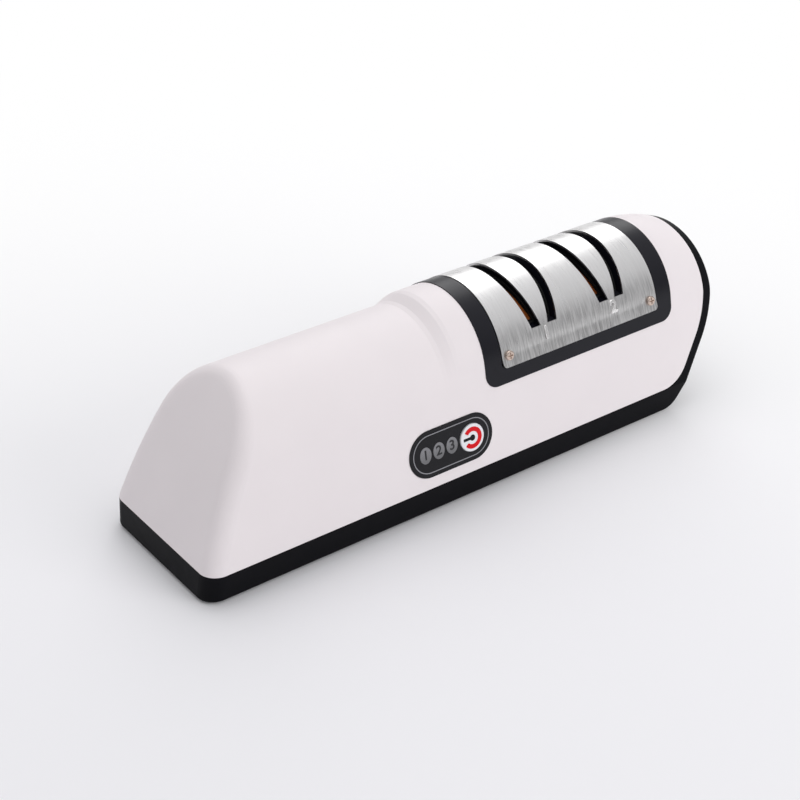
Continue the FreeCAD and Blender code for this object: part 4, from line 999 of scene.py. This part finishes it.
        start, end = self.ring_opening - math.pi, math.pi - self.ring_opening
        ring = arc(self.ring_outer, start, end, self.ring_outer_steps)
        ring += arc(self.ring_inner, end, start, self.ring_inner_steps)
        neck = math.pi - math.asin(self.bar_half_width / self.dot_radius)
        mark = arc(self.dot_radius, -neck, neck, self.dot_steps)
        mark += [centre + Vector((-self.bar_length, side * self.bar_half_width)) for side in (1.0, -1.0)]
        for name, outline, finish, node, slot in (("red_ring", ring, self.red, "button_ring", "ring_red"),
                                                  ("black_mark", mark, self.mark, "button_mark", "mark_black")):
            mesh = raised_flat(name, outline, top - self.sign_sink, top, self.sign_edge)
            self.piece(name, remapped(mesh, lambda point: place @ point), finish, Body.BUTTON, slot, [node])

    def build_number(self, words: str, along: float) -> None:
        """Builds the dark number on one window."""
        mesh = text_mesh(words, self.number_height, self.number_depth, self.number_rounding,
                         self.number_boldness)
        place = self.wall()

        def set_on(point: Vector) -> Vector:
            return place @ Vector((along + point.x, point.y, self.proud + point.z))

        self.piece("window_number_" + words, remapped(mesh, set_on), self.number, Body.HOUSING, "window_grey")


@dataclass
class ChargingSocket(SubAssembly):
    """The charging socket and its board in the back wall."""

    plated: TurnedMetal = TurnedMetal("socket_plating", (0.60, 0.60, 0.61), 0.2, Axis.ROUND_Z)
    board: CircuitBoard = CircuitBoard("charging_board_green")

    def build(self) -> None:
        """Dresses the socket and its board."""
        self.dress(self.plated, "charging_socket")
        self.dress(self.board, "charging_board")


@dataclass(frozen=True)
class Lamp:
    """One soft square lamp: where it hangs, what it points at, its side in metres and its watts."""

    name: str
    place: Triple
    target: Triple
    size: float
    power: float
    mirrored: bool = True

    def hang(self) -> None:
        """Adds the lamp to the scene."""
        light = bpy.data.lights.new(self.name, "AREA")
        light.size = self.size
        light.energy = self.power
        holder = bpy.data.objects.new(self.name, light)
        holder.location = self.place
        aim = Vector(self.target) - Vector(self.place)
        holder.rotation_euler = aim.to_track_quat("-Z", "Y").to_euler()
        holder.visible_glossy = self.mirrored
        bpy.context.scene.collection.objects.link(holder)


@dataclass
class Studio:
    """The pale floor with a painted shadow in front of the object, the soft lamps and the camera."""

    camera_place: Vector = field(default_factory=lambda: Vector((-335.23, -430.6, 355.2)) * MM)
    camera_target: Vector = field(default_factory=lambda: Vector((-13.93, 0.0, 28.0)) * MM)
    lens: float = 78.3
    sensor_width: float = 36.0
    nearest: float = 0.01
    farthest: float = 50.0
    lamps: tuple[Lamp, ...] = (
        Lamp("overhead", (0.15, 0.28, 1.05), (0.0, 0.0, 0.0), 0.8, 3.0),
        Lamp("back_right", (0.75, 0.95, 0.85), (0.0, 0.0, 0.03), 0.9, 4.6),
        Lamp("front_right", (0.6, -1.3, 0.55), (0.0, 0.0, 0.03), 0.9, 7.6, mirrored=False),
    )
    sky: float = 0.61
    sky_colour: Colour = (0.98, 0.98, 1.0)
    mirrored_blue: float = 1.02
    mirrored_levels: tuple[Range, ...] = ((0.0, 0.60), (0.5, 0.42), (0.62, 0.50), (0.8, 0.80), (1.0, 0.92))
    white: Colour = (1.0, 1.0, 1.0)
    floor_span: float = 6.0
    # Painted shadow: the floor's colour near the object; it pales to the far colour further out.
    floor_painted_shadow: Colour = (0.87, 0.865, 0.885)
    floor_far: Colour = (0.95, 0.95, 0.95)
    floor_roughness: float = 0.9
    painted_shadow_centre: Triple = (-120.0 * MM, -110.0 * MM, 0.0)
    painted_shadow_reach: Range = (0.10, 0.60)

    def build(self) -> None:
        """Sets up everything round the object."""
        self.build_floor()
        self.build_sky()
        for lamp in self.lamps:
            lamp.hang()
        self.build_camera()

    def build_floor(self) -> None:
        """Builds the floor, darker with a painted shadow near a point in front of and left of the object, and
        plain white away from the object.
        """
        span = self.floor_span
        corners = [Vector((x * span, y * span, 0.0)) for x, y in ((-1, -1), (1, -1), (1, 1), (-1, 1))]
        mesh = mesh_of("floor", corners, [(0, 1, 2, 3)])
        floor = bpy.data.objects.new("floor", mesh)
        bpy.context.scene.collection.objects.link(floor)
        sheet = ShaderSheet("floor_paper")
        # Painted shadow: the floor darkens towards the shadow colour round a point in front of and left of the
        # object, where its shadow falls; the same distance turns the floor white for the camera far off.
        distance = sheet.node("ShaderNodeVectorMath", {"operation": "DISTANCE"},
                              {0: sheet.place(), 1: self.painted_shadow_centre}).outputs["Value"]
        far = Value(sheet, distance).spread(*self.painted_shadow_reach)
        sheet.set(Base_Color=sheet.blend(far, self.floor_painted_shadow, self.floor_far), Roughness=self.floor_roughness,
                  Specular_IOR_Level=0.0)
        camera_ray = Value(sheet, sheet.node("ShaderNodeLightPath", {}, {}).outputs["Is Camera Ray"])
        glow = sheet.node("ShaderNodeEmission", {}, {"Color": self.white, "Strength": 1.0}).outputs[0]
        sheet.feed(sheet.output.inputs["Surface"], sheet.mixed(far * camera_ray, sheet.shader.outputs[0], glow))
        mesh.materials.append(sheet.material)

    def build_sky(self) -> None:
        """Gives an even pale light, white to what the camera sees, and to reflections a grey sky that is
        brightest overhead.
        """
        world = bpy.data.worlds.new("studio")
        bpy.context.scene.world = world
        world.use_nodes = True
        sheet = NodeSheet(world.node_tree)
        paths = sheet.node("ShaderNodeLightPath", {}, {}).outputs
        direction = sheet.node("ShaderNodeTexCoord", {}, {}).outputs["Generated"]
        up = Value(sheet, sheet.node("ShaderNodeSeparateXYZ", {}, {0: direction}).outputs[2])
        stops = [(place, (level, level, level * self.mirrored_blue)) for place, level in self.mirrored_levels]
        ramp = sheet.node("ShaderNodeValToRGB", {"stops": stops}, {0: (up + 1.0) * 0.5}).outputs[0]
        plain, mirrored, seen = (
            sheet.node("ShaderNodeBackground", {}, {0: colour, 1: strength}).outputs[0]
            for colour, strength in ((self.sky_colour, self.sky), (ramp, 1.0), (self.white, 1.0))
        )
        lit = sheet.mixed(paths["Is Glossy Ray"], plain, mirrored)
        surface = sheet.mixed(paths["Is Camera Ray"], lit, seen)
        sheet.node("ShaderNodeOutputWorld", {}, {"Surface": surface})
        bpy.context.scene.view_settings.view_transform = "Standard"

    def build_camera(self) -> None:
        """Places the camera at the photograph's angle."""
        data = bpy.data.cameras.new("camera")
        data.lens = self.lens
        data.sensor_width = self.sensor_width
        data.clip_start = self.nearest
        data.clip_end = self.farthest
        camera = bpy.data.objects.new("camera", data)
        camera.location = self.camera_place
        camera.rotation_euler = (self.camera_target - self.camera_place).to_track_quat("-Z", "Y").to_euler()
        bpy.context.scene.collection.objects.link(camera)
        bpy.context.scene.camera = camera


def main() -> None:
    """Builds the looks round the frame."""
    logging.basicConfig(level=logging.INFO, format="%(message)s")
    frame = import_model()
    for kind in (Housing, SharpeningHead, GrindingTrain, PowerPack, ControlPanel, ChargingSocket):
        LOG.info("building %s", kind.__name__)
        kind(frame).build()
    Studio().build()
    bpy.context.view_layer.update()


if __name__ == "__main__":
    main()
